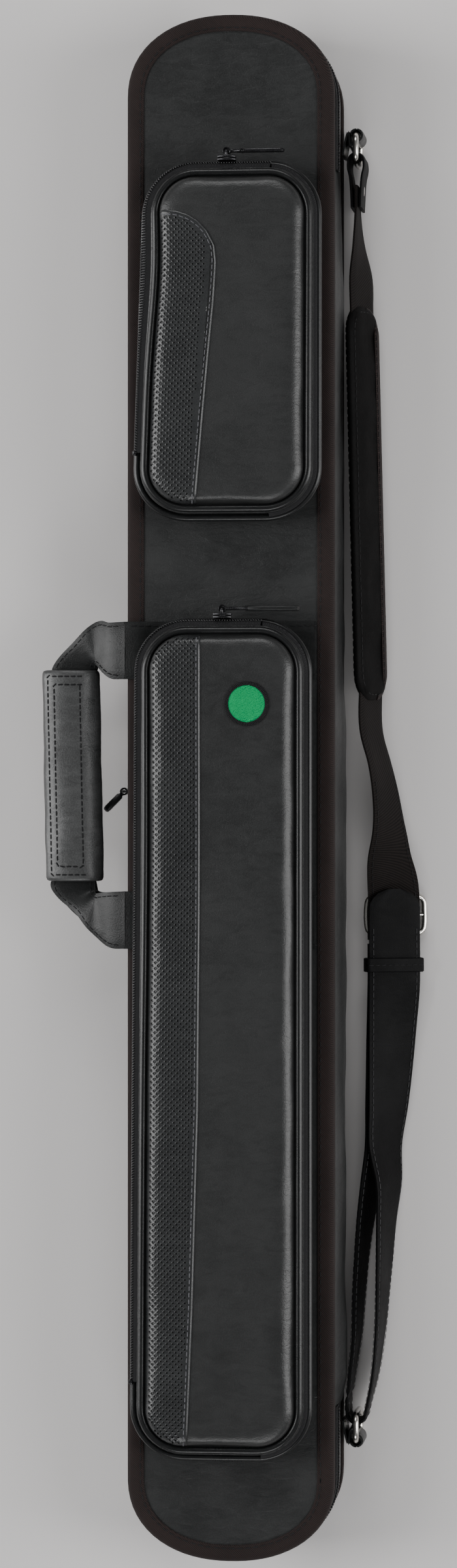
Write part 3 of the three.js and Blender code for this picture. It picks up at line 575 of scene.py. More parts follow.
def set_stage():
    """The camera, which keeps +Y upright in its picture, with the lights and the floor."""
    scene = bpy.context.scene
    data = bpy.data.cameras.new("camera")
    camera = bpy.data.objects.new("camera", data)
    camera.location = CAMERA_PLACE
    back = (CAMERA_PLACE - AIM).normalized()
    right = Vector(Y_AXIS).cross(back).normalized()
    camera.rotation_euler = Matrix((right, back.cross(right), back)).transposed().to_euler()
    data.sensor_width = SENSOR
    data.lens = SENSOR * (AIM - CAMERA_PLACE).length / FRAME_HEIGHT
    data.clip_end = 20
    scene.collection.objects.link(camera)
    scene.camera = camera
    for name, (place, target, size, power) in SOFTBOXES.items():
        light = bpy.data.lights.new(f"softbox_{name}", "AREA")
        light.shape, light.size, light.size_y, light.energy = "RECTANGLE", *size, power
        lamp = bpy.data.objects.new(f"softbox_{name}", light)
        lamp.location = place
        lamp.rotation_euler = (Vector(target) - Vector(place)).to_track_quat("-Z", "Y").to_euler()
        scene.collection.objects.link(lamp)
    world = bpy.data.worlds.new("studio")
    world.use_nodes = True
    sky = world.node_tree.nodes["Background"]
    sky.inputs["Color"].default_value = SKY_COLOUR
    sky.inputs["Strength"].default_value = SKY_STRENGTH
    scene.world = world
    r = FLOOR_REACH
    corners = [(x, y, -FLOOR_DROP) for x, y in ((-r, -r), (r, -r), (r, r), (-r, r))]
    make("studio_floor", corners, [(0, 1, 2, 3)], floor_look())


# ---- Stitching and coils -----------------------------------------------------------------------


# A rounded rod's cross-sections: where each is along its length of 1, and how full it is.
BEAD_ENDS = ((-0.5, 0.45), (-0.36, 0.9), (0.36, 0.9), (0.5, 0.45))


def bead_string(name, centres, along, up, size, look, body, sides=6):
    """Many small rounded rods in one mesh: size is (length, width, height) in millimetres."""
    length, width, height = size
    parts = []
    for centre, a, c, u in zip(centres, along, np.cross(up, along), up):
        rings = []
        for reach, grow in BEAD_ENDS:
            hub, half_w, half_h = centre + a * length * reach, width / 2 * grow, height / 2 * grow
            rings.append([
                hub + c * (half_w * math.cos(t)) + u * (half_h * math.sin(t))
                for t in full_turn(sides)
            ])
        parts.append(skin(rings, caps=True))
    points, faces = merged(parts)
    make(name, points, faces, look, body, sharp=60)


def stitches(name, path, body, normals=Z_AXIS, look=THREAD, pitch=4.2, length=3.0, width=0.75):
    """A row of stitches that lies on a surface along a path. normals holds the surface's normal
    at each point of the path, or one for the whole path."""
    path = np.asarray(path, float)
    rows = even(np.hstack([path, np.broadcast_to(normals, path.shape)]), pitch / 2, closed=False)[::2]
    ahead = unit(np.gradient(rows[:, :3], axis=0))
    up = rows[:, 3:]
    up = unit(up - ahead * np.sum(up * ahead, axis=1)[:, None])
    bead_string(name, rows[:, :3], ahead, up, (length, width, width * 0.8), look, body)


def stitches_round(name, path, out, z, body, **more):
    """Stitches along a closed plan path moved outwards by out, lying on a level surface."""
    line = path + outward(path) * out
    line = np.vstack([line, line[:1]])
    stitches(name, np.column_stack([line, np.full(len(line), z)]), body, **more)


def coil(name, path, normals, z, lean, size, pitch, body, shift):
    """One half of a zip coil: a row of small upright loops along a plan path, which lean outwards
    and are shifted along the path by a share of their pitch."""
    rows = even(np.hstack([path, normals]), pitch, closed=False)[:-1]
    ahead = unit(np.gradient(rows[:, :2], axis=0))
    flat, upright = np.zeros(len(rows)), np.ones(len(rows))
    centres = np.column_stack([rows[:, :2] + ahead * pitch * shift, flat + z])
    along = unit(np.column_stack([rows[:, 2:] * lean, upright]))
    out = np.cross(along, np.column_stack([ahead, flat]))
    bead_string(name, centres, along, out, size, TEETH, body)


# ---- Body --------------------------------------------------------------------------------------


def creased(rings, size, depth, seed, edge=3):
    """Soft unevenness on the upper face of a crowned pad, which fades out near its rim."""
    rows, count = rings.shape[:2]
    flat = rings.reshape(-1, 3)
    top = flat[:, 2].max()
    lift = ripple(flat, size, depth, seed) + ripple(flat, size / 3, depth / 4, seed + 5)
    share = np.clip((flat[:, 2] - (top - edge)) / edge, 0, 1)
    flat[:, 2] += lift * share
    return flat.reshape(rows, count, 3)


def add_panels():
    """The leather over the front panel and the back panel."""
    z0, z1 = low("front_panel")[2], high("front_panel")[2]
    profile = [(58, z0 + 0.3), (30, z0 + 0.3), (8, z0 + 0.3), (2.4, z0), (1.5, z0 + 0.6),
               (1.5, z1 - 0.8), (2.2, z1 - 0.2), (4, z1), (7, z1)]
    profile += [(inset, z1 + 0.1) for inset in (10, 14, 19, 25, 32, 40, 48, 54, 58)]
    crowned(case_ring, profile, LEATHER, "front_panel_cover", "front_lid", ["front_panel"],
            bump=lambda rings: creased(rings, 60, 0.35, 3.0, edge=0.6))
    z0, z1 = low("back_panel")[2], high("back_panel")[2]
    profile = [(58, z1 - 0.3), (30, z1 - 0.3), (8, z1 - 0.3), (2.4, z1), (1.5, z1 - 0.6),
               (1.5, z0 + 1.9), (2.4, z0 + 1.3), (6, z0 + 1.15), (9, z0 + 0.7), (12, z0 + 0.2),
               (18, z0 + 0.02), (28, z0), (40, z0), (58, z0)]
    crowned(case_ring, profile, LEATHER, "back_panel_cover", "rear_case", ["back_panel"])


def add_walls():
    """Both halves of the side wall, and the twill tape along their edges."""
    path = case_path(5.0)
    for name, node, body, swell in (
        ("lid_wall", "lid_gusset", "front_lid", 0.8),
        ("rear_wall", "rear_gusset", "rear_case", 1.0),
    ):
        z0, z1 = low(node)[2], high(node)[2]
        heights = np.linspace(0, 1, 9)
        outer = [(-1.6 + swell * 0.5 * math.sin(math.pi * t), z0 + (z1 - z0) * t) for t in heights]
        inner = [(-4.0, z) for _, z in outer[::-2]]
        points, faces = sweep(path, outer + inner)
        make(name, points, faces, LEATHER, body, [node])
    # The twill tape folded over the front edge, and the one at the back edge.
    z1, z0 = high("front_binding")[2], low("front_binding")[2]
    front = [(-9.6, z1 - 1.0), (-9.5, z1 - 0.25), (-8.9, z1 - 0.05), (-7.0, z1 + 0.05),
             (-4.0, z1 + 0.1), (-2.3, z1 - 0.2), (-1.0, z1 - 1.1), (-0.25, z1 - 2.6), (0, z1 - 4.8),
             (-0.1, z1 - 8.0), (-0.4, z0 + 0.3), (-0.9, z0), (-1.25, z0 + 0.4), (-1.3, z1 - 8),
             (-1.4, z1 - 3.2), (-3.0, z1 - 1.5), (-6.0, z1 - 1.15)]
    points, faces = sweep(path, front)
    points[:, 2] += ripple(points, 9.0, 0.10, 1.0)
    make("front_tape", points, faces, TWILL, "front_lid", ["front_binding"], sharp=70)
    top = high("rear_binding")[2]
    base = low("rear_binding")[2]
    back = [(out, base + (z1 - z)) for out, z in front]
    back = [(out, min(z, top)) for out, z in back]
    points, faces = sweep(path, back)
    points[:, 2] = np.maximum(points[:, 2], base - 0.1)
    make("rear_tape", points, faces, TWILL, "rear_case", ["rear_binding"], sharp=70)
    stitches_round("front_tape_stitching", path, -7.7, z1 + 0.2, "front_lid", pitch=4.4, length=3.0,
                   width=0.7)
    stitches_round("rear_tape_stitching", path, -7.7, base + 0.1, "rear_case", pitch=4.4, length=3.0,
                   width=0.5)


def zip_track():
    """The main zip's plan path and normals: round both ends and along the left side."""
    ring = case_path(2.0)
    return part_of(ring, ~((ring[:, 0] > 20) & (np.abs(ring[:, 1]) < ZIP_END_Y)))


def add_main_zip():
    path, normals = zip_track()
    seam = (high("main_zip_rear")[2] + low("main_zip_front")[2]) / 2
    for half, node, body, side in (
        ("front", "main_zip_front", "front_lid", 1),
        ("rear", "main_zip_rear", "rear_case", -1),
    ):
        far = high(node)[2] if side > 0 else low(node)[2]
        profile = [(-0.5, seam + side * 0.9), (-0.45, (seam + far) / 2), (-0.6, far), (-1.3, far),
                   (-1.3, seam + side * 0.9)]
        points, faces = ribbon(path, normals, profile)
        make(f"main_zip_{half}_tape", points, faces, DARK_TAPE, body, [node])
        coil(f"main_zip_{half}_coil", path, normals, seam + side * 0.75, 0.0, (2.7, 0.85, 1.5), 1.7,
             body, 0.25 * side)


def add_spine():
    """The leather spine: one cover that runs across the line where the lid turns."""
    z0, z1 = low("spine_strip_rear")[2], high("spine_strip_front")[2]
    end = high("spine_strip_rear")[1] + 0.5
    rows = []
    for y in np.arange(-end, end + 0.1, 4.0):
        outer, inner = [], []
        for t in np.linspace(0, 1, 22):
            z = z0 - 1.5 + (z1 - z0 + 3.0) * t
            swell = 3.6 + 1.2 * math.exp(-((y + 50) / 90) ** 2) - 0.004 * y
            puff = swell * min(1, (end - abs(y)) / 25 + 0.35) * math.sin(math.pi * t) ** 0.8
            fold = 1.6 * noise.noise(Vector((y / 60, t * 1.6, 4.0)))
            fold += 0.7 * noise.noise(Vector((y / 24, t * 3.0, 9.0)))
            x = HALF_W - 1.3 + puff + fold * math.sin(math.pi * t)
            outer.append((x, y, z))
            inner.append((x - 0.9, y, z))
        rows.append(outer + inner[::-1])
    points, faces = skin(rows, caps=True)
    spine = make("spine_cover", points, faces, LEATHER, None,
                 ["spine_strip_rear", "spine_strip_front"])
    seam = (high("spine_strip_rear")[2] + low("spine_strip_front")[2]) / 2
    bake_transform(spine)


def channel_profile(count, width, wall, floor, corner, rim):
    """The cross-section of a foam block with round channels: (x, height above its base)."""
    pitch = width + wall
    half = high("butt_cradle")[0]
    points = [(-half, 0), (half, 0), (half, rim - 1.2), (half - 0.6, rim)]
    for i in reversed(range(count)):
        left = (i - (count - 1) / 2) * pitch - width / 2
        right = left + width
        points.append((right + 0.5, rim))
        points.append((right, rim - 0.8))
        turns = np.linspace(0, math.pi / 2, 6)
        bend = [(corner - corner * math.cos(t), floor + corner - corner * math.sin(t)) for t in turns]
        points += [(right - x, height) for x, height in bend]
        points += [(left + x, height) for x, height in reversed(bend)]
        points.append((left, rim - 0.8))
        points.append((left - 0.5, rim))
    points += [(-half + 0.6, rim), (-half, rim - 1.2)]
    return points


def add_cradle(name, node, body, upwards, channels):
    """A foam block with channels for cues, slightly uneven under its plush."""
    base, way = (low(node)[2], 1) if upwards else (high(node)[2], -1)
    rim = high(node)[2] - low(node)[2]
    section = channel_profile(*channels, rim)
    end = high(node)[1]
    rows = []
    for y in np.linspace(-end, end, 78):
        soft = 1.0 - 0.5 * (abs(abs(y) - end) < 1)
        row = []
        for x, h in section:
            dip = 0.45 * noise.noise(Vector((x / 14, y / 40, h / 12 + 3))) if 2 < h else 0
            row.append((x, y, base + way * (h + min(dip, 0.2) * soft)))
        rows.append(row)
    points, faces = skin(rows, caps=True)
    make(name, points, faces, PLUSH, body, [node], sharp=60)


def add_end_pad(name, node, body, end):
    """A foam pad that fills a round end of the case."""
    z0, z1 = low(node)[2], high(node)[2]
    start = STRAIGHT_Y + 0.6

    def ring(inset):
        half = HALF_W - 4.4 - inset
        depth = END_DEPTH - 4.4 - inset - 0.6
        turns = np.linspace(0, math.pi, 33)
        power = 2 / END_POWER
        arc = [(math.copysign(half * abs(math.cos(t)) ** power, math.cos(t)),
                start + inset + depth * abs(math.sin(t)) ** power) for t in turns]
        flat = [(x, start + inset) for x in np.linspace(-half, half, 20)[1:-1]]
        return np.array(arc + flat) * (1, end)

    flip = name.startswith("lid")
    face, back = (z0, z1) if flip else (z1, z0)
    soft = -1 if flip else 1
    profile = [(18, back), (1, back), (0, back + soft * 1.2), (0, face - soft * 2.4),
               (0.7, face - soft * 0.9), (2.2, face - soft * 0.2), (6, face), (12, face), (18, face)]
    points, faces = skin(levels(ring, profile), caps=True)
    make(name, points, faces, PLUSH, body, [node], sharp=60)


def add_lining():
    """Everything inside the case: foam, end pads and hold-down straps."""
    add_cradle("butt_foam", "butt_cradle", "rear_case", True, (3, 33, 2.25, 3, 9))
    add_cradle("shaft_foam", "shaft_cradle", "front_lid", False, (4, 24, 2.4, 2.5, 7))
    for prefix, body in (("rear", "rear_case"), ("lid", "front_lid")):
        add_end_pad(f"{prefix}_end_foam_top", f"{prefix}_end_pad_top", body, 1)
        add_end_pad(f"{prefix}_end_foam_bottom", f"{prefix}_end_pad_bottom", body, -1)
    for kind, body in (("butt", "rear_case"), ("shaft", "front_lid")):
        for row in (1, 2):
            node = f"{kind}_hold_down_{row}"
            lo, hi = low(node), high(node)
            rings = []
            for inset, share in ((0.9, 0), (0.2, 0.15), (0, 0.5), (0.2, 0.85), (0.9, 1)):
                z = lo[2] + (hi[2] - lo[2]) * share
                box = [(hi[0] - inset, hi[1] - inset), (lo[0] + inset, hi[1] - inset),
                       (lo[0] + inset, lo[1] + inset), (hi[0] - inset, lo[1] + inset)]
                ring = even(np.array(box), 3.0, closed=True)
                rings.append(np.column_stack([ring, np.full(len(ring), z)]))
            count = min(len(r) for r in rings)
            points, faces = skin([r[:count] for r in rings], caps=True)
            make(f"{kind}_strap_{row}", points, faces, DARK_TAPE, body, [node], sharp=50)


# ---- Pockets -----------------------------------------------------------------------------------


def pocket_facts(name):
    """A pocket's plan and the heights of its layers, as the frame has them."""
    base = f"{name}_base_piping"
    return {
        "name": name, "flap": name.split("_")[0] + "_flap",
        "centre": middle(base)[:2], "half": (high(base) - low(base))[:2] / 2,
        "panel": high("front_panel")[2], "welt": middle(base)[2],
        "zip_low": low(f"{name}_zip_base")[1], "zip_right": high(f"{name}_zip_base")[0],
        "seam": (high(f"{name}_zip_base")[2] + low(f"{name}_zip_lid")[2]) / 2,
        "lid": low(f"{name}_lid")[2], "top": high(f"{name}_lid")[2],
        "bead": middle(f"{name}_lid_piping")[2],
    }


UPPER = pocket_facts("upper_pocket")
LOWER = pocket_facts("lower_pocket")


def inside_depth(pocket, points):
    """How far inside the pocket's outline each plan point is."""
    q = np.abs(points - pocket["centre"]) - (np.array(pocket["half"]) - POCKET_CORNER)
    outer = np.linalg.norm(np.maximum(q, 0), axis=1)
    return POCKET_CORNER - outer - np.minimum(np.maximum(q[:, 0], q[:, 1]), 0)


CLOTH_FRAMES = 18
SMOOTHINGS = 12


def evened(moves, mesh):
    """Averages each vertex's move with its neighbours', which leaves only the soft swellings."""
    pairs = np.array([edge.vertices for edge in mesh.edges])
    counts = np.bincount(pairs.ravel(), minlength=len(moves))[:, None]
    for _ in range(SMOOTHINGS):
        total = np.zeros_like(moves)
        np.add.at(total, pairs[:, 0], moves[pairs[:, 1]])
        np.add.at(total, pairs[:, 1], moves[pairs[:, 0]])
        moves = (moves + total / counts) / 2
    return moves


def puffed(shape, pins, pressure, cap):
    """Blows a pad up as cloth, with the vertices where pins is true held, and caps how far any
    vertex moves, in millimetres."""
    mesh = shape.data
    group = shape.vertex_groups.new(name="held")
    group.add([i for i in range(len(mesh.vertices)) if pins[i]], 1.0, "REPLACE")
    before = np.array([v.co for v in mesh.vertices])
    cloth = shape.modifiers.new("cloth", "CLOTH")
    cloth.settings.quality = 4
    cloth.settings.mass = 0.2
    cloth.settings.tension_stiffness = 12
    cloth.settings.compression_stiffness = 12
    cloth.settings.bending_stiffness = 0.6
    cloth.settings.shrink_min = -0.012
    cloth.settings.use_pressure = True
    cloth.settings.uniform_pressure_force = pressure
    cloth.settings.vertex_group_mass = "held"
    cloth.settings.effector_weights.gravity = 0
    cloth.collision_settings.use_collision = False
    scene = bpy.context.scene
    for step in range(1, CLOTH_FRAMES + 1):
        scene.frame_set(step)
    blown = shape.evaluated_get(bpy.context.evaluated_depsgraph_get()).to_mesh()
    moves = evened(np.array([v.co for v in blown.vertices]) - before, mesh)
    shape.modifiers.remove(cloth)
    scene.frame_set(1)
    reach = np.linalg.norm(moves, axis=1)
    share = np.minimum(1, cap * MM / np.maximum(reach, 1e-9)) * ~np.array(pins)
    mesh.vertices.foreach_set("co", (before + moves * share[:, None]).ravel())
    mesh.update()


def add_cushion(pocket):
    """The lid's padded cover, which is held at its rim and blown up."""
    name, top, base = pocket["name"], pocket["top"], pocket["lid"]
    inner = 9.3
    slope = [(0.0, 2.6), (0.1, 4.0), (0.5, 5.4), (1.3, 6.7), (2.6, 7.7), (4.4, 8.3), (7, 8.65),
             (10.5, 8.8), (15, 8.85), (21, 8.85), (28, 8.85), (34, 8.85)]
    half = pocket["half"][0]
    profile = [(half, base + 1.9), (16, base + 1.9), (inner + 1.0, base + 1.9)]
    profile += [(inner + d, min(base + z, top)) for d, z in slope] + [(half, top - 0.15)]

    def ring(inset):
        return pocket_ring(pocket, inset, along=3.6, around=14)

    seed = 11.0 if name == "upper_pocket" else 37.0
    pad = crowned(ring, profile, CUSHION, f"{name}_cushion", None, [f"{name}_lid"],
                  bump=lambda rings: creased(rings, 34, 0.28, seed, edge=2.0))
    pins = [v.co.z < (base + 3.2) * MM for v in pad.data.vertices]
    puffed(pad, pins, pressure=1.2, cap=0.7)
    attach(pad, pocket["flap"])
    return pad


def convex_clamp(points, pocket, edge, depth):
    """Moves plan points that lie outside a convex line or the pocket's rim back onto it."""
    points = np.array(points, float)
    starts, ends = edge[:-1], edge[1:]
    along = unit(ends - starts)
    inward = np.column_stack([-along[:, 1], along[:, 0]])
    for _ in range(6):
        for start, normal in zip(starts, inward):
            outside = np.minimum((points - start) @ normal, 0)
            points -= outside[:, None] * normal
        here = inside_depth(pocket, points)
        missing = np.maximum(depth - here, 0)
        slope = np.column_stack([
            inside_depth(pocket, points + nudge) - here for nudge in np.eye(2) * 0.05
        ])
        slope /= np.maximum(np.linalg.norm(slope, axis=1), 1e-9)[:, None]
        points += slope * missing[:, None]
    return points


def edge_depth(points, edge):
    """How far plan points are inside a convex line."""
    along = unit(edge[1:] - edge[:-1])
    inward = np.column_stack([-along[:, 1], along[:, 0]])
    return np.min([(points - s) @ n for s, n in zip(edge[:-1], inward)], axis=0)


def surface_under(pad):
    """A function that gives the height of a pad's upper face at plan points, in millimetres. The
    points are given before the pad's pocket has settled."""
    mesh = pad.data
    pad_top = max(v.co.z for v in mesh.vertices) / MM
    tree = BVHTree.FromPolygons([v.co for v in mesh.vertices], [p.vertices for p in mesh.polygons])

    def height(points):
        found = []
        raised = np.column_stack([points, np.full(len(points), pad_top)])
        for x, y, _ in settled(raised, pad.name):
            hit = tree.ray_cast(Vector((x * MM, y * MM, 0.3)), Vector((0, 0, -1)))[0]
            found.append(hit.z / MM if hit else 0.0)
        return np.array(found)

    return height


# In millimetres. The mesh's diamonds are two units from middle to tip, and a hole may lie only so
# far from the strip's rim and its inner edge.
HOLE_UNIT = 0.8
HOLE_RADIUS = 0.62
HOLE_DEPTH = 0.95
HOLE_RISE = 0.22
CLEAR_OF_RIM = 1.3
CLEAR_OF_EDGE = 2.9
STRIP_LIFT = 0.5
HEM_DEPTH = 0.9
HEM_RADIUS = 0.55
HEM_TO_SEAM = 1.7


def add_inlay(pocket, pad, edge):
    """The glossy strip with real holes: diamonds of mesh, each with an eight-sided hole."""
    name = pocket["name"]
    height = surface_under(pad)
    corners = ((2, 0), (1, 1), (0, 2), (-1, 1), (-2, 0), (-1, -1), (0, -2), (1, -1))
    low_x, high_x = pocket["centre"][0] - pocket["half"][0], edge[:, 0].max() + 3
    low_y = pocket["centre"][1] - pocket["half"][1]
    high_y = min(pocket["centre"][1] + pocket["half"][1], edge[:, 1].max() + 3)
    cells = []
    for i in range(int(low_x / HOLE_UNIT / 2) - 1, int(high_x / HOLE_UNIT / 2) + 2):
        for j in range(int(low_y / HOLE_UNIT / 4) - 2, int(high_y / HOLE_UNIT / 4) + 2):
            cells.append((2 * i, 4 * j + 2 * (i % 2)))
    cells = np.array(cells)
    centres = cells * HOLE_UNIT
    from_edge = edge_depth(centres, edge)
    depth = np.minimum(inside_depth(pocket, centres) - INLAY_OUT, from_edge)
    keep = depth > -HOLE_UNIT * 2.1
    keys, flat, faces = {}, [], []

    def vertex(key, point):
        if key not in keys:
            keys[key] = len(flat)
            flat.append(point)
        return keys[key]

    hole_rings = []
    for cell, centre, far, edge_far in zip(cells[keep], centres[keep], depth[keep], from_edge[keep]):
        x, y = cell
        around = [
            vertex((x + a, y + b), ((x + a) * HOLE_UNIT, (y + b) * HOLE_UNIT)) for a, b in corners
        ]
        if far > CLEAR_OF_RIM and edge_far > CLEAR_OF_EDGE:
            ring = []
            for k, turn in enumerate(full_turn(8)):
                spot = centre + HOLE_RADIUS * np.array([math.cos(turn), math.sin(turn)])
                ring.append(vertex((x, y, k + 1), tuple(spot)))
            hole_rings.append(ring)
            faces += [(around[k], around[(k + 1) % 8], ring[(k + 1) % 8], ring[k]) for k in range(8)]
        else:
            hub = vertex((x, y, 0), tuple(centre))
            faces += [(around[k], around[(k + 1) % 8], hub) for k in range(8)]
    plan = convex_clamp(flat, pocket, edge, INLAY_OUT)
    points = np.column_stack([plan, height(plan) + STRIP_LIFT])
    points[np.array(hole_rings).ravel(), 2] += HOLE_RISE
    wells = []
    for ring in hole_rings:
        start = len(points) + len(wells)
        wells += [points[k] - Z_AXIS * HOLE_DEPTH for k in ring]
        faces += [(ring[k], ring[(k + 1) % 8], start + (k + 1) % 8, start + k) for k in range(8)]
        faces.append(tuple(start + k for k in range(8)))
    points = np.vstack([points, np.array(wells)])
    strip = make(f"{name}_perforated_strip", points, faces, GLOSSY, None, [f"{name}_inlay"],
                 weld=0.03, sharp=60)
    bm = bmesh.new()
    bm.from_mesh(strip.data)
    rim_edges = [e for e in bm.edges if e.is_boundary]
    hem = bmesh.ops.extrude_edge_only(bm, edges=rim_edges)["geom"]
    bmesh.ops.translate(bm, verts=[v for v in hem if isinstance(v, bmesh.types.BMVert)],
                        vec=(0, 0, -HEM_DEPTH * MM))
    bmesh.ops.recalc_face_normals(bm, faces=bm.faces)
    bm.to_mesh(strip.data)
    bm.free()
    strip.data.set_sharp_from_angle(angle=math.radians(60))
    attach(strip, pocket["flap"])
    # The folded hem along the strip's inner edge, and its stitching.
    run = even(edge, 1.5, closed=False)
    run = run[inside_depth(pocket, run) > INLAY_OUT + 0.4]
    points, faces = rod(np.column_stack([run, height(run) + 0.35]), HEM_RADIUS, count=8)
    make(f"{name}_strip_hem", points, faces, GLOSSY, pocket["flap"])
    along = unit(np.gradient(run, axis=0))
    inner = run + np.column_stack([-along[:, 1], along[:, 0]]) * HEM_TO_SEAM
    inner = inner[inside_depth(pocket, inner) > INLAY_OUT + 0.4]
    seam = np.column_stack([inner, height(inner) + 0.62])
    stitches(f"{name}_strip_stitching", seam, pocket["flap"], look=SHINY_THREAD, pitch=3.6,
             length=2.6, width=0.62)


def add_pocket(pocket, edge):
    """One pocket from its wall up. edge is the inner edge of its perforated strip in plan."""
    name, flap = pocket["name"], pocket["flap"]
    path = pocket_path(pocket, 3.0)
    # Wall and floor.
    panel, welt, seam = pocket["panel"], pocket["welt"], pocket["seam"]
    wall = [(-2.5, panel + 0.5), (-1.9, panel + 3.5), (-1.5, panel + 7), (-1.7, panel + 10.5),
            (-2.4, welt - 1.2), (-3.4, welt - 0.6), (-4.4, welt - 1.2), (-4.2, panel + 7),
            (-4.5, panel + 2.4)]
    points, faces = sweep(path, wall)
    points[:, :2] += ripple(points, 26, 0.35, 2.0)[:, None]
    make(f"{name}_wall", points, faces, LEATHER, "front_lid", [f"{name}_gusset"], sharp=60)
    half = pocket["half"][0]
    floor = [(half, panel + 2.6), (5, panel + 2.6), (4.4, panel + 3.2), (4.6, panel + 4.6),
             (6, panel + 4.9), (12, panel + 4.8), (half, panel + 4.8)]
    crowned(lambda inset: pocket_ring(pocket, inset, along=8), floor, DARK_TAPE, f"{name}_floor",
            "front_lid")
    # Piping at the wall's edge and round the lid, each with its sewn flange.
    flange = [(-3.0, welt - 0.9), (-4.6, welt - 0.9), (-4.6, welt + 0.3), (-3.0, welt + 0.3)]
    for part, body, radius, out, z, squash, skirt in (
        ("base", "front_lid", 2.0, -2.15, welt, 0.98, flange),
        ("lid", flap, 2.05, -6.95, pocket["bead"], 0.86,
         [(-8.6, pocket["bead"] - 1.5), (-9.6, pocket["bead"] - 1.2), (-9.6, pocket["bead"] - 0.4),
          (-8.6, pocket["bead"] - 0.3)]),
    ):
        points, faces = merged([
            sweep(path, tube_profile(radius, out, z, squash, 14)), sweep(path, skirt),
        ])
        make(f"{name}_{part}_bead", points, faces, PIPING, body, [f"{name}_{part}_piping"], sharp=60)
    # The leather band of the lid under its piping.
    lid, bead = pocket["lid"], pocket["bead"]
    band = [(half, lid), (6, lid), (4.6, lid + 0.1), (4.2, lid + 0.7), (4.5, lid + 1.5),
            (6.0, bead - 1.2), (9.2, bead - 0.9), (14, bead - 1.1), (half, bead - 1.1)]
    crowned(lambda inset: pocket_ring(pocket, inset, along=8), band, LEATHER, f"{name}_lid_base",
            flap)
    # The zip, and on the other side the leather that the lid turns on, which takes the dark tape look
    # as painted shade in the gap between the pipings.
    ring = pocket_path(pocket, 1.2)
    on_zip = (ring[:, 0] < pocket["zip_right"]) & (ring[:, 1] > pocket["zip_low"])
    track, normals = part_of(ring, on_zip)
    tapes = (
        ("base", "front_lid", [(-1.9, seam - 0.7), (-2.7, welt + 0.6), (-3.5, welt + 0.6),
                               (-3.2, seam - 0.6)]),
        ("lid", flap, [(-1.7, seam + 0.65), (-3.3, seam + 1.9), (-5.4, seam + 2.3),
                       (-5.4, seam + 1.4), (-3.2, seam + 1.0)]),
    )
    for part, body, profile in tapes:
        points, faces = ribbon(track, normals, profile)
        make(f"{name}_zip_{part}_tape", points, faces, DARK_TAPE, body, [f"{name}_zip_{part}"])
    for part, body, z, out, lean in (
        ("base", "front_lid", seam - 0.45, -1.05, 0.25), ("lid", flap, seam + 0.75, -1.15, -0.25),
    ):
        coil(f"{name}_zip_{part}_coil", track + normals * out, normals, z, lean, (2.1, 0.8, 1.25),
             1.45, body, shift=lean)
    stop = track[-1] + normals[-1] * -1.1
    points, faces = rod([(*(stop + (0, -d)), seam + 0.2) for d in (-1.2, -0.6, 0.6, 1.6)],
                        [0.9, 1.5, 1.5, 0.9])
    make(f"{name}_zip_stop", points, faces, BLACK_METAL, "front_lid")
    hinge, hinge_normals = part_of(ring, ring[:, 0] > pocket["zip_right"])
    fold = [(-2.6, welt - 0.4), (-2.9, seam - 0.8), (-2.3, seam + 0.2), (-3.0, seam + 1.3),
            (-5.2, seam + 2.2), (-5.6, seam + 1.2), (-3.9, seam + 0.6), (-3.5, seam - 0.4),
            (-3.6, welt - 0.4)]
    points, faces = ribbon(hinge, hinge_normals, fold)
    # The leaf gets the dark zip-tape look instead of leather: painted shade for the dark gap between
    # the two pipings.
    shaded_leaf = make(f"{name}_hinge", points, faces, DARK_TAPE)
    pin = high(f"{name}_lid")[0]
    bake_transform(shaded_leaf)
    pad = add_cushion(pocket)
    add_inlay(pocket, pad, edge)
    return pad


UPPER_EDGE = np.array([
    (-14.5, 120), (-13.4, 156), (-11.3, 190.7), (-9.1, 226.6), (-7.0, 266.8), (-6.3, 289.3),
    (-7.3, 298.3), (-11.6, 306.2), (-16.5, 311.2), (-22.4, 314.8), (-28.7, 316.8), (-36.0, 317.4),
    (-60, 317.6),
])
LOWER_EDGE = np.array([
    (-22.2, -400), (-19.6, -356.4), (-17.0, -284.7), (-14.5, -177), (-14.3, -60), (-14.5, 110),
])


def add_badge(pad):
    """A plain round embroidered patch with an overlocked border."""
    lo, hi = low("badge"), high("badge")
    centre, radius = (lo + hi)[:2] / 2, (hi - lo)[0] / 2
    height = surface_under(pad)
    rings = []
    for share, lift in ((0, 0.75), (0.25, 0.75), (0.5, 0.75), (0.75, 0.72), (0.86, 0.6), (0.9, -0.3)):
        turn = full_turn(48)
        plan = centre + radius * max(share, 0.004) * np.column_stack([np.cos(turn), np.sin(turn)])
        rings.append(np.column_stack([plan, height(plan) + lift]))
    points, faces = skin(rings, caps=True)
    make("badge_cloth", points, faces, GREEN, "lower_flap", ["badge"], weld=0.1)
    # Satin stitches in slanted rows, and the border's slanted stitches.
    centres, along = [], []
    row = 0
    for y in np.arange(-0.86, 0.87, 0.062):
        reach = math.sqrt(max(0.86 ** 2 - y * y, 0))
        pieces = max(int(reach / 0.17), 1)
        for x in np.linspace(-reach, reach, pieces + 2)[1:-1] + 0.05 * (row % 2):
            centres.append((centre[0] + radius * x, centre[1] + radius * y))
            along.append((1, 0.28 if row % 2 else 0.12, 0))
        row += 1
    centres = np.array(centres)
    points = np.column_stack([centres, height(centres) + 0.82])
    up = np.tile(Z_AXIS, (len(points), 1))
    bead_string("badge_stitches", points, unit(np.array(along)), up, (3.4, 0.72, 0.5), GREEN,
                "lower_flap", sides=5)
    turn = full_turn(84)
    rim = centre + radius * 0.93 * np.column_stack([np.cos(turn), np.sin(turn)])
    points = np.column_stack([rim, height(rim) + 0.75])
    out = np.column_stack([np.cos(turn + 0.35), np.sin(turn + 0.35), np.zeros(84)])
    up = np.tile(Z_AXIS, (len(points), 1))
    bead_string("badge_border", points, out, up, (2.3, 0.95, 1.5), THREAD, "lower_flap")


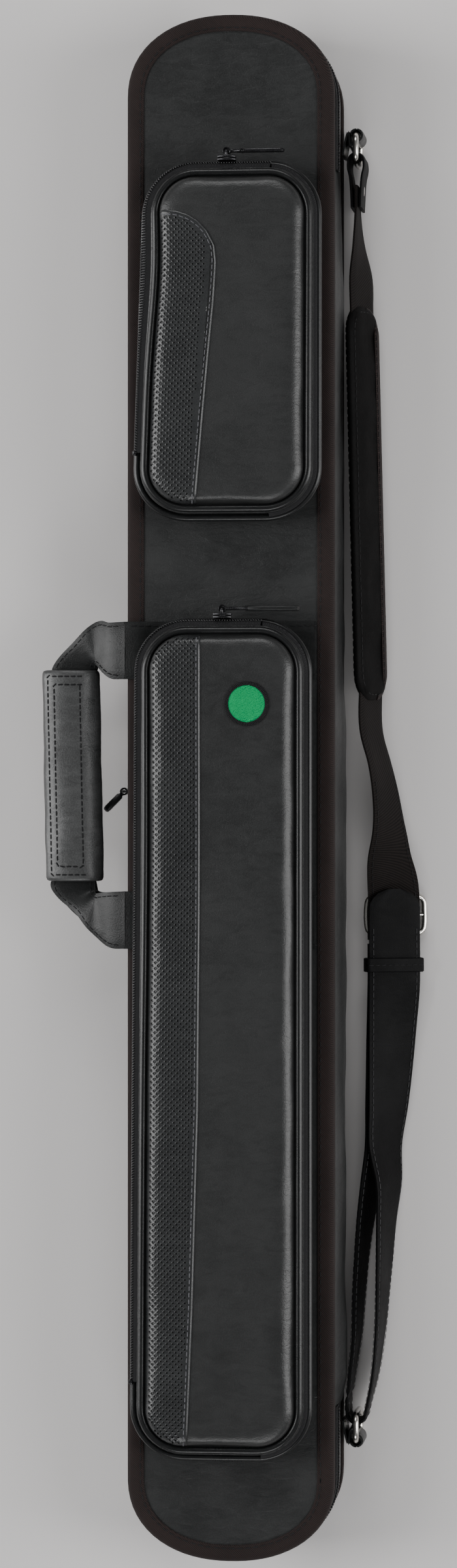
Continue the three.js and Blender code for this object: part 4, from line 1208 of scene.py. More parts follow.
# ---- Small hard parts --------------------------------------------------------------------------


def round_rect(half_u, half_v, radius, steps=5):
    """A rectangle with round corners, centred on the origin, anticlockwise."""
    points = []
    for quarter in range(4):
        u = (1 if quarter in (0, 3) else -1) * (half_u - radius)
        v = (1 if quarter < 2 else -1) * (half_v - radius)
        for step in range(steps + 1):
            angle = (quarter + step / steps) * math.pi / 2
            points.append((u + radius * math.cos(angle), v + radius * math.sin(angle)))
    return np.array(points)


def slab(outline, thick, soft, origin, u_axis, v_axis):
    """A flat plate with soft edges: its outline lies in the plane of two axes."""
    outline = np.asarray(outline, float)
    normals = outward(outline)
    w_axis = np.cross(u_axis, v_axis)
    half = thick / 2
    rings = []
    for inset, w in ((soft, -half), (soft * 0.3, 0.3 * soft - half), (0, soft - half),
                     (0, half - soft), (soft * 0.3, half - 0.3 * soft), (soft, half)):
        ring = outline - normals * inset
        rings.append(origin + np.outer(ring[:, 0], u_axis) + np.outer(ring[:, 1], v_axis)
                     + w * w_axis)
    return skin(rings, caps=True)


def lathe(profile, centre, axis=Z_AXIS, side=X_AXIS, count=20):
    """A turned shape from (radius, height along the axis) pairs."""
    other = np.cross(axis, side)
    rings = []
    for t in full_turn(count):
        out = side * math.cos(t) + other * math.sin(t)
        rings.append([centre + out * r + axis * h for r, h in profile])
    return skin(rings, loop=True)


SLEEVE_EDGE = 0.35


def sleeve(centre, inner, outer, half, axis=Z_AXIS, side=X_AXIS):
    """A short tube with broken edges: inner and outer are radii, and half is half its length."""
    c = SLEEVE_EDGE
    profile = [(inner, -half + c), (inner + c, -half), (outer - c, -half), (outer, -half + c),
               (outer, half - c), (outer - c, half), (inner + c, half), (inner, half - c)]
    return lathe(profile, centre, axis, side)


def slider_parts(seat, post, ahead, out):
    """A zip slider: two plates, a bridge and the bail that its pull turns on."""
    wings = np.array([(-5, -2.6), (-3.4, -4), (3.4, -4), (5, -2.6), (5, 2.6), (3.4, 4), (-3.4, 4),
                      (-5, 2.6)])
    parts = [slab(wings, 1.3, 0.3, seat + out * shift, ahead, Z_AXIS) for shift in (0.1, 1.7)]
    parts.append(slab(round_rect(1.4, 1.5, 0.6), 1.6, 0.1, seat + out * 1.0, ahead, Z_AXIS))
    rise = (post - seat) @ out
    arch = [(1.9, -3.4), (rise - 1.4, -3.75), (rise - 0.3, -3.5), (rise, -2.9), (rise, 0),
            (rise, 2.9), (rise - 0.3, 3.5), (rise - 1.4, 3.75), (1.9, 3.4)]
    bail = smooth_rows([seat + out * a + Z_AXIS * z for a, z in arch], 0.5)
    parts.append(rod(bail, 0.8))
    return parts


def mirrored(outline, skip=0):
    """An outline whose half is given from tail to nose, with the same half turned over. skip
    leaves out points of the turned half that both halves share."""
    outline = np.array(outline)
    return np.vstack([outline, (outline * (1, -1))[::-1][skip:]])


# The main pull's direction at rest, in degrees anticlockwise from the spine's side.
MAIN_PULL_TURN = 225.0


def add_zip_hardware():
    """All three sliders and their pulls."""
    plans = (
        ("upper_pocket", "upper_slider", X_AXIS, Y_AXIS),
        ("lower_pocket", "lower_slider", X_AXIS, Y_AXIS),
        ("main_zip", "main_slider", Y_AXIS, -X_AXIS),
    )
    for name, slider_body, ahead, out in plans:
        centre = middle(f"{name}_slider")
        foot = low(f"{name}_slider") if out.sum() > 0 else high(f"{name}_slider")
        seat = centre + out * ((foot - centre) @ out)
        post = seat + out * 4.8
        points, faces = merged(slider_parts(seat, post, ahead, out))
        make(f"{name}_slider_cast", points, faces, BLACK_METAL, slider_body, [f"{name}_slider"])
    # Upper pull: a slim black bar. Lower pull: a link and a rubbery leather tab. Main pull: an eye
    # and a leather tab, which lies back along the case.
    eye = joint_place("upper_pull_swing")
    end = high("upper_pocket_pull")[0]
    nose = end - eye[0]
    bar = mirrored([(1.2, -1.6), (4.5, -1.3), (6.5, -2.6), (12, -2.9), (nose - 2.6, -3.1),
                    (nose - 0.7, -2.4), (nose, 0)], skip=1)
    points, faces = merged([
        sleeve(eye, 1.3, 2.2, 2.7), slab(bar, 1.7, 0.5, eye, X_AXIS, Z_AXIS),
        sleeve(eye + X_AXIS * 8.4, 0.5, 1.1, 3.3),
    ])
    make("upper_pull_bar", points, faces, BLACK_METAL, "upper_pull", ["upper_pocket_pull"])
    eye = joint_place("lower_pull_swing")
    start, end = low("lower_pocket_pull")[0] - eye[0], high("lower_pocket_pull")[0] - eye[0]
    reach = start + 3.6
    loop = [(1.6, 2.0), (3.5, 2.3), (reach - 1.4, 2.3), (reach, 1.5), (reach, -1.5),
            (reach - 1.4, -2.3), (3.5, -2.3), (1.6, -2.0)]
    link = smooth_rows([eye + X_AXIS * a + Z_AXIS * z for a, z in loop], 0.5)
    points, faces = merged([sleeve(eye, 1.3, 2.2, 2.7), rod(link, 0.85)])
    make("lower_pull_link", points, faces, BLACK_METAL, "lower_pull", ["lower_pocket_pull_link"])
    tab = mirrored([(start, -2.2), (start + 3, -3.4), (start + 10, -3.8), (end - 4, -4.0),
                    (end - 1.2, -3.2), (end, -1.2)])
    points, faces = slab(tab, 3.0, 1.1, eye, X_AXIS, Z_AXIS)
    make("lower_pull_tab", points, faces, STRAP, "lower_pull", ["lower_pocket_pull"])
    eye = joint_place("main_pull_swing")
    turn = math.radians(MAIN_PULL_TURN)
    ahead = np.array([math.cos(turn), math.sin(turn), 0])
    tab = mirrored([(2.6, -1.6), (4.5, -2.6), (9, -3.1), (13, -3.0), (14.6, -2.0), (15.2, 0)], skip=1)
    stem = rod([eye + ahead * 1.5, eye + ahead * 4.5], 1.2)
    points, faces = merged([sleeve(eye, 1.3, 2.2, 2.7), stem])
    make("main_pull_eye", points, faces, BLACK_METAL, "main_pull")
    points, faces = slab(tab, 3.6, 1.1, eye + ahead * 0.2, ahead, Z_AXIS)
    make("main_pull_tab", points, faces, STRAP, "main_pull", ["main_zip_pull"])


# ---- Straps ------------------------------------------------------------------------------------


def band_profile(half, thick, soft, dome=0.0):
    """A strap's cross-section as (across, through) pairs, with soft edges."""
    across = np.linspace(-1, 1, 9)
    flat = thick / 2 - 0.8 * soft * (abs(across) == 1)
    top = [(half * a, t + dome * (1 - a * a)) for a, t in zip(across, flat)]
    edge = [(half + 0.02, thick / 2 - soft), (half, -thick / 2 + soft)]
    under = [(half * a, -t) for a, t in zip(across[::-1], flat)]
    back = [(-half, -thick / 2 + soft), (-half - 0.02, thick / 2 - soft)]
    return np.array(top + edge + under + back)


def strap_mesh(rows, thick, soft=0.5, dome=0.0, wave=0.1, seed=0.0):
    """Rows of centre (3), across (3), normal (3) and half width carried into a flat strap. wave
    is the depth of its unevenness."""
    rings = np.array([
        [row[:3] + row[3:6] * a + row[6:9] * t for a, t in band_profile(row[9], thick, soft, dome)]
        for row in rows
    ])
    lift = ripple(rings.reshape(-1, 3), 17, wave, seed).reshape(rings.shape[:2])
    return skin(rings + lift[..., None] * rows[:, None, 6:9], caps=True)


def strap_seams(name, rows, thick, body, inset=2.2, faces_up=(1,), **more):
    """Stitch rows along both edges of a strap, on its outer face or on both."""
    for face in faces_up:
        for side, label in ((1, "a"), (-1, "b")):
            normal = rows[:, 6:9] * face
            reach = (rows[:, 9] - inset)[:, None]
            line = rows[:, :3] + rows[:, 3:6] * side * reach + normal * (thick / 2 + 0.12)
            tag = f"{name}_seam_{label}{'' if face > 0 else '_back'}"
            stitches(tag, line, body, normal, **more)


def frames_from(rows):
    """Makes each row's across and normal unit vectors, square to the strap's run."""
    rows = np.array(rows, float)
    run = unit(np.gradient(rows[:, :3], axis=0))
    across = rows[:, 3:6]
    across = unit(across - run * np.sum(across * run, axis=1)[:, None])
    normal = np.cross(across, run)
    wrong = np.sum(normal * rows[:, 6:9], axis=1) < 0
    normal[wrong] *= -1
    rows[:, 3:6], rows[:, 6:9] = across, normal
    return rows


# ---- Carrying handle ---------------------------------------------------------------------------

TURN_X = -76.0
TURN_RADIUS = 1.5
GRIP_STRAP = 12.0
# The grip's seams from its middle line, as shares of its half width: two on its left, one right.
GRIP_SEAMS = (-0.74, -0.52, 0.36)


def handle_facts():
    """The handle's places in the frame, with each strap's Y and its side of the grip."""
    grip_low, grip_high = low("handle_grip"), high("handle_grip")
    return {
        "grip_low": grip_low, "grip_high": grip_high, "centre": (grip_low + grip_high) / 2,
        "rows": [(middle(f"handle_anchor_{end}")[1], side) for end, side in
                 (("upper", 1), ("lower", -1))],
        "top": high("handle_anchor_upper")[2] - 0.8,
    }


def turn_rows(side, pivot_y, z_start, z_end, half, dip):
    """Rows of a strap that turns a quarter round, from across the case to along it, while it
    rises. dip is how much it narrows half way."""
    rows = []
    for t in np.linspace(0, 1, 14):
        angle = t * math.pi / 2
        out = np.array([-math.sin(angle), side * math.cos(angle), 0])
        width = half - dip * math.sin(2 * angle)
        ease = t * t * (3 - 2 * t)
        centre = np.array([TURN_X, pivot_y, z_start + (z_end - z_start) * ease])
        rows.append([*(centre + out * (width + TURN_RADIUS)), *out, 0, 0, 1, width])
    return rows


def add_handle():
    """The carrying handle: its flat runs, loops, rear strap and grip."""
    facts = handle_facts()
    grip_low, grip_high, centre = facts["grip_low"], facts["grip_high"], facts["centre"]
    half_l = (grip_high - grip_low)[1] / 2
    inner = HALF_W - 9.5
    for (y, side), end in zip(facts["rows"], ("upper", "lower")):
        # The flat run across the panel, which climbs over the edge tape.
        z = low(f"handle_anchor_{end}")[2] + 0.8
        route = [(inner - 1.5, z), (20, z), (-20, z), (-inner + 3.5, z + 0.1),
                 (-inner - 0.4, facts["top"] + 0.1), (-HALF_W + 2, facts["top"] + 0.25),
                 (-HALF_W - 1.4, facts["top"])]
        rows = smooth_rows([[x, y, h, 0, 1, 0, 0, 0, 1, 16] for x, h in route], 3.0)
        rows = frames_from(rows)
        points, faces = strap_mesh(rows, 1.6, 0.5, wave=0.12, seed=y)
        make(f"handle_run_{end}", points, faces, STRAP, "front_lid", [f"handle_anchor_{end}"])
        flat = rows[rows[:, 0] > -HALF_W + 3]
        strap_seams(f"handle_run_{end}", flat, 1.6, "front_lid", inset=2.4, pitch=4.0, length=2.9)
        # The loop from the case's edge into the grip.
        grip_end = centre[1] + side * (half_l + 0.3)
        pivot = grip_end + side * (1 if side > 0 else 5)
        start = [[-HALF_W - 0.8, y, facts["top"], 0, side, 0, 0, 0, 1, 16]]
        start.append([-HALF_W - 9, y, facts["top"] - 2.2, 0, side, 0, 0, 0, 1, 15.6])
        turn = turn_rows(side, pivot, centre[2] + 5.5, centre[2] + 1.0, GRIP_STRAP,
                         3.0 if side > 0 else 4.0)
        tail = [[turn[-1][0], grip_end - side * 3, centre[2], *turn[-1][3:9], GRIP_STRAP]]
        rows = smooth_rows(start + turn[1:] + tail, 1.6)
        points, faces = strap_mesh(rows, 1.9, 0.6, dome=0.35, wave=0.2, seed=y + 4)
        make(f"handle_turn_{end}", points, faces, STRAP, "carry_handle", [f"handle_loop_{end}"])
        clear = rows[rows[:, 0] < -HALF_W - 5]
        strap_seams(f"handle_turn_{end}", clear, 2.0, "carry_handle", inset=2.3, pitch=3.8,
                    length=2.8, width=0.7)
    add_rear_handle(facts, half_l)
    add_grip(facts, half_l)


def add_rear_handle(facts, half_l):
    """The strap under the grip, which is sewn to the rear half of the case."""
    centre = facts["centre"]
    root = low("rear_handle_strap")[2] + 0.9
    run = high("rear_handle_strap")[2] - 0.9
    halves = []
    for y, side in facts["rows"]:
        grip_end = centre[1] + side * (half_l + 0.3)
        pivot = grip_end + side * (1 if side > 0 else 5)
        rows = [[-HALF_W - 0.4, y, root, 0, side, 0, 0, 0, 1, 14],
                [-HALF_W - 7, y, root + 3.5, 0, side, 0, 0, 0, 1, 13.6]]
        rows += turn_rows(side, pivot, root + 14, run, 11.5, 2.0)
        halves.append(rows)
    back = [[*r[:3], *[-v for v in r[3:6]], *r[6:]] for r in halves[1][::-1]]
    ends = np.array([halves[0][-1], back[0]])
    straight = [list(ends[0] + (ends[1] - ends[0]) * share) for share in np.linspace(0.04, 0.96, 9)]
    rows = smooth_rows(halves[0] + straight + back, 2.0)
    points, faces = strap_mesh(rows, 1.8, 0.5, dome=0.2, wave=0.15, seed=8)
    make("rear_handle_band", points, faces, STRAP, "rear_handle", ["rear_handle_strap"])
    clear = rows[rows[:, 0] < -HALF_W - 6]
    strap_seams("rear_handle_band", clear, 1.8, "rear_handle", inset=2.2, faces_up=(1, -1), pitch=4.0,
                length=2.9)


def add_grip(facts, half_l):
    """A padded leather wrap: a fat oval in section, with its stitched seams."""
    centre = facts["centre"]
    half_w = (facts["grip_high"] - facts["grip_low"])[0] / 2
    half_h = (facts["grip_high"] - facts["grip_low"])[2] / 2
    rings = []
    ends = [(-1.0, 0.84), (-0.996, 0.92), (-0.985, 0.97), (-0.965, 0.993)]
    stations = [e[0] for e in ends] + list(np.linspace(-0.93, 0.93, 40)) + [-e[0] for e in ends[::-1]]
    grows = [e[1] for e in ends] + [1.0] * 40 + [e[1] for e in ends[::-1]]
    for along, grow in zip(stations, grows):
        ring = []
        swell = 1.0 - 0.025 * along * along
        for t in full_turn(44):
            c, s = math.cos(t), math.sin(t)
            x = half_w * grow * swell * math.copysign(abs(c) ** 0.62, c)
            z = half_h * grow * swell * math.copysign(abs(s) ** 0.72, s)
            ring.append((centre[0] + x, centre[1] + along * half_l, centre[2] + z))
        rings.append(ring)
    rings = np.array(rings)
    flat = rings.reshape(-1, 3)
    outward_dir = flat - centre
    outward_dir[:, 1] = 0
    outward_dir /= np.maximum(np.linalg.norm(outward_dir, axis=1), 1e-6)[:, None]
    # Shallow grooves under the seams, and soft unevenness.
    local = flat - centre
    groove = np.zeros(len(flat))
    outer_x, inner_x, right_x = (share * half_w for share in GRIP_SEAMS)
    for seam_x in (outer_x, inner_x, right_x):
        groove += 0.4 * np.exp(-((local[:, 0] - seam_x) / 1.1) ** 2) * (local[:, 2] > 0)
    folds = ripple(flat, 18, 0.18, 21.0) + ripple(flat * (1, 1.8, 1), 7, 0.12, 3.0)
    flat += outward_dir * (folds - groove)[:, None]
    # The wrap's open edges meet on its right side, which sags a little.
    rolled = np.clip((local[:, 0] / half_w - 0.1) / 0.9, 0, 1)
    flat[:, 2] -= 2.6 * rolled ** 2 * (local[:, 2] > 0)
    flat[:, 0] -= 0.02 * local[:, 1]
    points, faces = skin(rings, caps=True)
    grip = make("handle_grip_wrap", points, faces, GRIP, None, ["handle_grip"], sharp=60)
    pins = np.abs(local[:, 1]) > half_l * 0.93
    puffed(grip, pins, pressure=1.5, cap=0.6)
    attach(grip, "carry_handle")
    height = surface_under(grip)
    outer_y, inner_y = half_l - 3.6, half_l - 8.2
    seams = (
        ("outer", [(right_x, outer_y), (outer_x, outer_y), (outer_x, -outer_y), (right_x, -outer_y)]),
        ("inner", [(right_x, inner_y), (inner_x, inner_y), (inner_x, -inner_y), (right_x, -inner_y),
                   (right_x, inner_y)]),
    )
    for label, corners in seams:
        line = even(corners, 1.5, closed=False)
        line[:, 0] -= 0.02 * line[:, 1]
        line += centre[:2]
        seam = np.column_stack([line, height(line) + 0.1])
        stitches(f"grip_seam_{label}", seam, "carry_handle", pitch=3.6, length=2.7, width=1.0)


# ---- Shoulder strap ----------------------------------------------------------------------------

STRAP_WIDTH = 30.0
STRAP_THICK = 2.2
LAYER_STEP = 2.7
# X, tilt and lift beside the buckle, where the strap runs straight.
BY_BUCKLE = (86.6, 22, 7.4)
PAD_TILT = 70
# Each station: Y, X, tilt in degrees from lying flat (0) to standing on edge (90), and lift.
UPPER_RUN = [(339, 67, 90, 4.2), (325.6, 67, 90, 4.2), (306, 67.8, 82, 5.2), (288, 68.8, 70, 5.6),
             (270, 69.2, 70, 5.6), (60, 74.3, 70, 5.6), (30, 75, 70, 5.6), (15, 79, 70, 4.8),
             (0, 82, 67, 4), (-25, 84.6, 56, 4.5), (-42, 84.8, 38, 6.2), (-56, *BY_BUCKLE),
             (-86, *BY_BUCKLE)]
STACKED_RUN = [(-88, *BY_BUCKLE), (-110, *BY_BUCKLE), (-136, 85, 32, 4), (-179, 82, 47, 0.5),
               (-201, 80, 56, 0)]
INNER_RUN = [(-223, 74.5, 70, 0), (-245, 71, 76, 0), (-266, 68.8, 80, 0), (-288, 67.3, 82, 0.5),
             (-310, 66.2, 85, 2), (-335, 63.2, 89, 4)]
OUTER_RUN = [(-335, 76, 88, 4), (-310, 79.2, 84, 2), (-288, 80.6, 81, 0.5), (-266, 81.8, 77, 0),
             (-245, 82.8, 73, 0), (-223, 83.6, 66, 0)]
LOOP_CENTRE = np.array([67.0, -352.5, 19.8])
LOOP_RADIUS = 5.0


def strap_axes(tilt):
    """The directions across a strap and out of its face, for a tilt in degrees."""
    t = math.radians(tilt)
    return np.array([math.cos(t), 0, -math.sin(t)]), np.array([math.sin(t), 0, math.cos(t)])


def strap_row(station, layer=0.0):
    """One station's centre, directions and half width. layer counts straps away from the case."""
    y, x, tilt, lift = station
    across, normal = strap_axes(tilt)
    up = 0.6 + STRAP_WIDTH / 2 * normal[0] + STRAP_THICK / 2 * normal[2] + lift
    centre = np.array([x, y, up]) + normal * LAYER_STEP * layer
    return [*centre, *across, *normal, STRAP_WIDTH / 2]


def double_run():
    """Rows of the folded lower strap, from beside the buckle, round the ring and back again."""
    rows = [strap_row(s) for s in STACKED_RUN + INNER_RUN]
    for angle in np.linspace(math.pi, 2 * math.pi, 9):
        out = np.array([math.cos(angle), math.sin(angle), 0])
        centre = LOOP_CENTRE + out * LOOP_RADIUS
        rows.append([*centre, 0, 0, -1.0, *out, STRAP_WIDTH / 2 - 2])
    rows += [strap_row(s) for s in OUTER_RUN[:-1]]
    rows.append(strap_row(OUTER_RUN[-1], 0.25))
    outer_layer = STACKED_RUN[::-1] + [(-70, *BY_BUCKLE), (-57, *BY_BUCKLE)]
    return rows + [strap_row(station, 1.0) for station in outer_layer]


def add_strap():
    """The whole shoulder strap with its rings, buckle and pad."""
    rows = frames_from(smooth_rows([strap_row(s) for s in UPPER_RUN], 4.0))
    points, faces = strap_mesh(rows, STRAP_THICK, 0.7, seed=5)
    make("strap_run_upper", points, faces, WEBBING, "rear_case", ["shoulder_strap_upper"])
    flat = rows[rows[:, 1] < 5]
    strap_seams("strap_run_upper", flat, STRAP_THICK, "rear_case", inset=2.6, faces_up=(1, -1),
                pitch=4.2, length=3.1, width=0.5)
    turns = smooth_rows(double_run(), 3.0)
    # The folded strap narrows to a rounded tip.
    reach = np.linalg.norm(turns[:, :3] - turns[-1, :3], axis=1)
    late = np.arange(len(turns)) > len(turns) * 0.8
    tip = np.clip(1 - reach / 11, 0, 1) * late
    turns[:, 9] *= np.sqrt(np.maximum(1 - tip ** 2 * 0.94, 0.05))
    rows = frames_from(turns)
    points, faces = strap_mesh(rows, STRAP_THICK, 0.7, seed=9)
    make("strap_run_lower", points, faces, DARK_STRAP, "rear_case", ["shoulder_strap_lower"])
    strap_seams("strap_run_lower", rows[:-8], STRAP_THICK, "rear_case", inset=2.2, faces_up=(1, -1),
                pitch=4.0, length=3.0, width=0.45, look=GREY_THREAD)
    add_end_loop()
    for end in ("upper", "lower"):
        add_ring(end)
    add_buckle()
    add_shoulder_pad()


def arc(centre, radius, start, stop, count, axis_u, axis_v):
    """Points along an arc in the plane of two axes, between two angles."""
    return [centre + radius * (math.cos(t) * axis_u + math.sin(t) * axis_v)
            for t in np.linspace(start, stop, count)]


def add_end_loop():
    """The leather loop that joins the strap to the upper ring, and its rivet."""
    lo, hi = low("strap_end_loop"), high("strap_end_loop")
    half = (hi[2] - lo[2]) / 2
    centre = np.array([67.0, RING_BAR_Y - 14.5, (lo + hi)[2] / 2])
    route = [(67 - 2.3, lo[1] + 0.6), (67 - 2.6, lo[1] + 8), (67 - 3.4, centre[1] - 8),
             (67 - 4.4, centre[1] - 3)]
    around = arc(centre, 4.3, math.pi, 0, 9, X_AXIS, Y_AXIS)
    route = [np.array([x, y, centre[2]]) for x, y in route] + around
    route += [np.array([134 - p[0], p[1], centre[2]]) for p in route[:4][::-1]]
    rows = [[*p, 0, 0, 1.0, p[0] - 67, 0.0, 0, half] for p in route]
    for row in rows:
        if abs(row[6]) < 1e-3:
            row[7] = 1.0
        row[6:9] = list(np.array(row[6:9]) / np.linalg.norm(row[6:9]))
    rows = frames_from(smooth_rows(rows, 1.5))
    for row in rows:
        if (row[:3] - (67, centre[1] - 4, centre[2])) @ row[6:9] < 0:
            row[6:9] *= -1
    points, faces = strap_mesh(rows, 1.9, 0.6, wave=0.08, seed=2)
    make("strap_end_fold", points, faces, DARK_STRAP, "rear_case", ["strap_end_loop"])
    rivet = middle("strap_rivet")
    start = low("strap_rivet")[0]
    reach = high("strap_rivet")[0] - start
    radius = (high("strap_rivet") - low("strap_rivet"))[1] / 2
    profile = [(0.01, 0), (radius * 0.8, 0), (radius, reach * 0.25), (radius, reach * 0.4),
               (radius * 0.86, reach * 0.72), (radius * 0.5, reach * 0.95), (0.01, reach)]
    points, faces = lathe(profile, np.array([start, rivet[1], rivet[2]]), X_AXIS, Y_AXIS, 24)
    make("strap_rivet_cap", points, faces, NICKEL, "rear_case", ["strap_rivet"], weld=0.05)


def add_ring(end):
    """A round-wire ring, and the folded leather tab that sews it to the case."""
    side = 1 if end == "upper" else -1
    lo, hi = low(f"{end}_ring"), high(f"{end}_ring")
    wire = 1.75
    centre = (lo + hi) / 2
    half_y, half_z = (hi - lo)[1] / 2 - wire, (hi - lo)[2] / 2 - wire
    outline = round_rect(half_y, half_z, min(half_y, half_z) * 0.7, steps=9)
    path = smooth_rows([np.array([centre[0], centre[1] + u, centre[2] + v]) for u, v in
                        np.vstack([outline, outline[:1]])], 1.2)[:-1]
    points, faces = rod(path, wire, closed=True, count=14, up=X_AXIS)
    make(f"{end}_ring_wire", points, faces, NICKEL, f"ring_{end}", [f"{end}_ring"], sharp=70)
    node = f"{end}_ring_tab"
    lo, hi = low(node), high(node)
    half = (hi[2] - lo[2]) / 2
    z = (lo + hi)[2] / 2
    eye = np.array([67.0, side * RING_BAR_Y, z])
    root_x = lo[0] + 1.0
    far_y = lo[1] + 1.0 if side > 0 else hi[1] - 1.0
    root = [np.array([root_x, far_y, z]), np.array([root_x + 1.2, far_y + side * 7, z]),
            np.array([root_x + 3.0, far_y + side * 13, z]),
            np.array([64.2, side * (RING_BAR_Y - 6), z])]
    around = arc(eye, 3.4, math.radians(-110), math.radians(150), 10, X_AXIS, Y_AXIS * side)
    rows = [[*p, 0, 0, 1.0, 1.0, 0, 0, half] for p in root + around]
    rows = frames_from(smooth_rows(rows, 1.2))
    points, faces = strap_mesh(rows, 1.8, 0.5, wave=0.06, seed=side)
    make(f"{end}_ring_leather", points, faces, STRAP, "rear_case", [node])


def add_buckle():
    """The buckle's frame and prong, and the keeper beside it."""
    across, normal = strap_axes(BY_BUCKLE[1])
    centre = joint_place("prong_drop")
    wire, half_across, half_l = 1.6, 18.6, 12.5
    outline = round_rect(half_across - wire, half_l - wire, 5.0, steps=6)
    outline = np.vstack([outline, outline[:1]])
    path = smooth_rows([centre + across * u + Y_AXIS * v for u, v in outline], 1.5)[:-1]
    bar = [centre + across * u for u in np.linspace(-half_across + 1.2, half_across - 1.2, 9)]
    points, faces = merged([
        rod(path, wire, closed=True, count=14, up=normal), rod(bar, 1.2, count=12),
    ])
    make("buckle_wire", points, faces, NICKEL, "rear_case", ["buckle_frame"], sharp=70)
    reach = high("buckle_prong")[1] - centre[1]
    tongue = [(2.0, 0.0), (3.5, -1.2), (6.0, -2.9), (9.5, -3.0), (reach - 1.4, -2.6), (reach, -2.2)]
    line = smooth_rows([centre + Y_AXIS * a + normal * h for a, h in tongue], 0.8)
    size = np.interp(np.arange(len(line)), [0, len(line) * 0.75, len(line) - 1], [1.15, 1.1, 0.55])
    points, faces = merged([
        sleeve(centre, 1.7, 3.0, 1.6, across, Y_AXIS), rod(line, size),
    ])
    make("buckle_tongue", points, faces, NICKEL, "prong", ["buckle_prong"], sharp=60)
    # The leather keeper that holds both layers of strap.
    centre = np.array(strap_row((-100, *BY_BUCKLE))[:3]) + normal * LAYER_STEP / 2
    half_w, half_t, wall, half_y = 15.7, 3.15, 1.3, 4.0
    outline = round_rect(half_w + wall, half_t + wall, 1.9, steps=5)
    inner = round_rect(half_w, half_t, 0.6, steps=5)
    rings = []
    for v, grow in ((-1, 0.45), (-0.9, 1), (-0.4, 1), (0.4, 1), (0.9, 1), (1, 0.45), (0.9, 0),
                    (-0.9, 0)):
        ring = inner + (outline - inner) * grow
        rings.append([centre + across * a + normal * t + Y_AXIS * half_y * v for a, t in ring])
    points, faces = skin(rings, loop=True)
    make("keeper_loop", points, faces, DARK_STRAP, "rear_case", ["strap_keeper"], sharp=60)
    for face in (1, -1):
        line = [centre + across * a + normal * face * (half_t + wall + 0.1)
                for a in np.linspace(-half_w + 1, half_w - 1, 16)]
        stitches(f"keeper_stitching_{'top' if face > 0 else 'under'}", line, "rear_case",
                 normal * face, pitch=3.6, length=2.6, width=0.6)


# ---- Shoulder pad ------------------------------------------------------------------------------


def near_end(y, y_low, y_high):
    """How far a station is from the nearer end of the pad, as a share of the pad's thin end."""
    return min(y - y_low, y_high - y) / 9


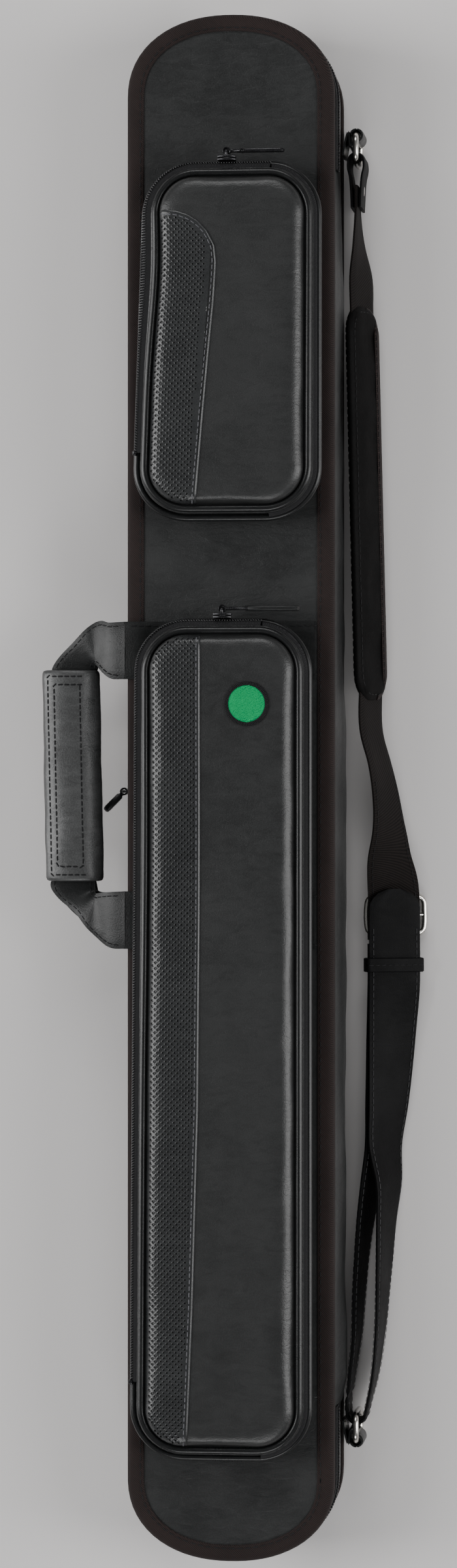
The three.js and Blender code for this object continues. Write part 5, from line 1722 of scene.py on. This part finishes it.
def add_shoulder_pad():
    """The sliding pad: its firm body, the edging folded over it and the stitches through both."""
    y_low, y_high = low("shoulder_pad")[1], high("shoulder_pad")[1]
    across, normal = strap_axes(PAD_TILT)
    half_w, half_t, end_round = 20.0, 3.5, 15.0
    z = middle("shoulder_pad")[2]

    def centre_at(y):
        return np.array([np.interp(y, (30, 300), (75.0, 68.5)), y, z])

    stations = np.concatenate([
        y_low + end_round * (1 - np.cos(np.linspace(0.12, math.pi / 2, 8))),
        np.linspace(y_low + end_round + 3.5, y_high - end_round - 3.5, 56),
        y_high - end_round * (1 - np.cos(np.linspace(math.pi / 2, 0.12, 8))),
    ])

    def half_at(y):
        near = min(y - y_low, y_high - y)
        if near >= end_round:
            return half_w
        return half_w - end_round + math.sqrt(max(end_round ** 2 - (end_round - near) ** 2, 0.0))

    rings = []
    for y in stations:
        half = half_at(y)
        thin = min(1, 0.45 + near_end(y, y_low, y_high))
        top, under = [], []
        for a in np.linspace(-1, 1, 15):
            spot = centre_at(y) + across * (half - 1.0) * a
            for face, way, seed in ((top, 1, 5.0), (under, -1, 15.0)):
                ridge = 0.35 * noise.noise(Vector((y / 22, a * 1.6, seed)))
                rise = half_t * (1 - abs(a) ** 5) ** 0.5 * thin + ridge * (1 - a * a)
                face.append(spot + normal * way * rise)
        rings.append(top + under[::-1][1:-1])
    points, faces = skin(rings, caps=True)
    pad = make("shoulder_pad_body", points, faces, SHADED_PAD, None, ["shoulder_pad"], sharp=50)
    pins = np.array([abs((v.co / MM - Vector(centre_at(v.co.y / MM))) @ Vector(across))
                     > half_at(v.co.y / MM) * 0.86 for v in pad.data.vertices])
    puffed(pad, pins, pressure=2.0, cap=0.7)
    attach(pad, "pad")
    # Twill binding right round, folded over the pad's edge.
    loop = [centre_at(y) + across * (half_at(y) - 1.2) for y in stations]
    loop += [centre_at(y) - across * (half_at(y) - 1.2) for y in stations[::-1]]
    loop = even(np.array(loop), 3.0, closed=True)
    inside = np.array([centre_at(p[1]) for p in loop])
    rings, away = [], []
    for i, point in enumerate(loop):
        ahead = loop[(i + 1) % len(loop)] - loop[i - 1]
        ahead /= np.linalg.norm(ahead)
        out = np.cross(ahead, normal)
        core = inside[i].copy()
        core[1] = np.clip(point[1], y_low + half_w, y_high - half_w)
        if out @ (point - core) < 0:
            out = -out
        out /= np.linalg.norm(out)
        reach = 3.6 + 7.0 * max(out @ across, 0) ** 4
        lift = 1.4 + 0.31 * reach
        section = [(-reach, lift - 0.5), (-reach + 1, lift), (-reach / 2, lift * 0.93), (-1.2, 2.1),
                   (0.4, 1.4), (1.05, 0), (0.4, -1.4), (-1.2, -2.1), (-3.2, -2.5), (-4.0, -2.1)]
        rings.append([point + out * a + normal * t for a, t in section])
        away.append(out @ across > 0)
    # Twill on the side away from the case, and leather on the side towards it.
    rings, away = np.array(rings), np.array(away)
    for label, keep, look in (("twill", away, TWILL), ("leather", ~away, SHADED_PAD)):
        points, faces = skin(rings[from_first(keep)], caps=True)
        make(f"shoulder_pad_{label}_edge", points, faces, look, "pad", sharp=60)
    for face in (1, -1):
        line = rings[:, 1 if face > 0 else 7] + normal * face * 0.15
        stitches(f"shoulder_pad_stitching_{'top' if face > 0 else 'under'}", line, "pad",
                 normal * face, width=0.6)


# ---- The whole case ----------------------------------------------------------------------------

set_stage()
add_panels()
add_walls()
add_main_zip()
add_spine()
add_lining()
add_pocket(UPPER, UPPER_EDGE)
lower_pad = add_pocket(LOWER, LOWER_EDGE)
add_badge(lower_pad)
add_zip_hardware()
add_handle()
add_strap()
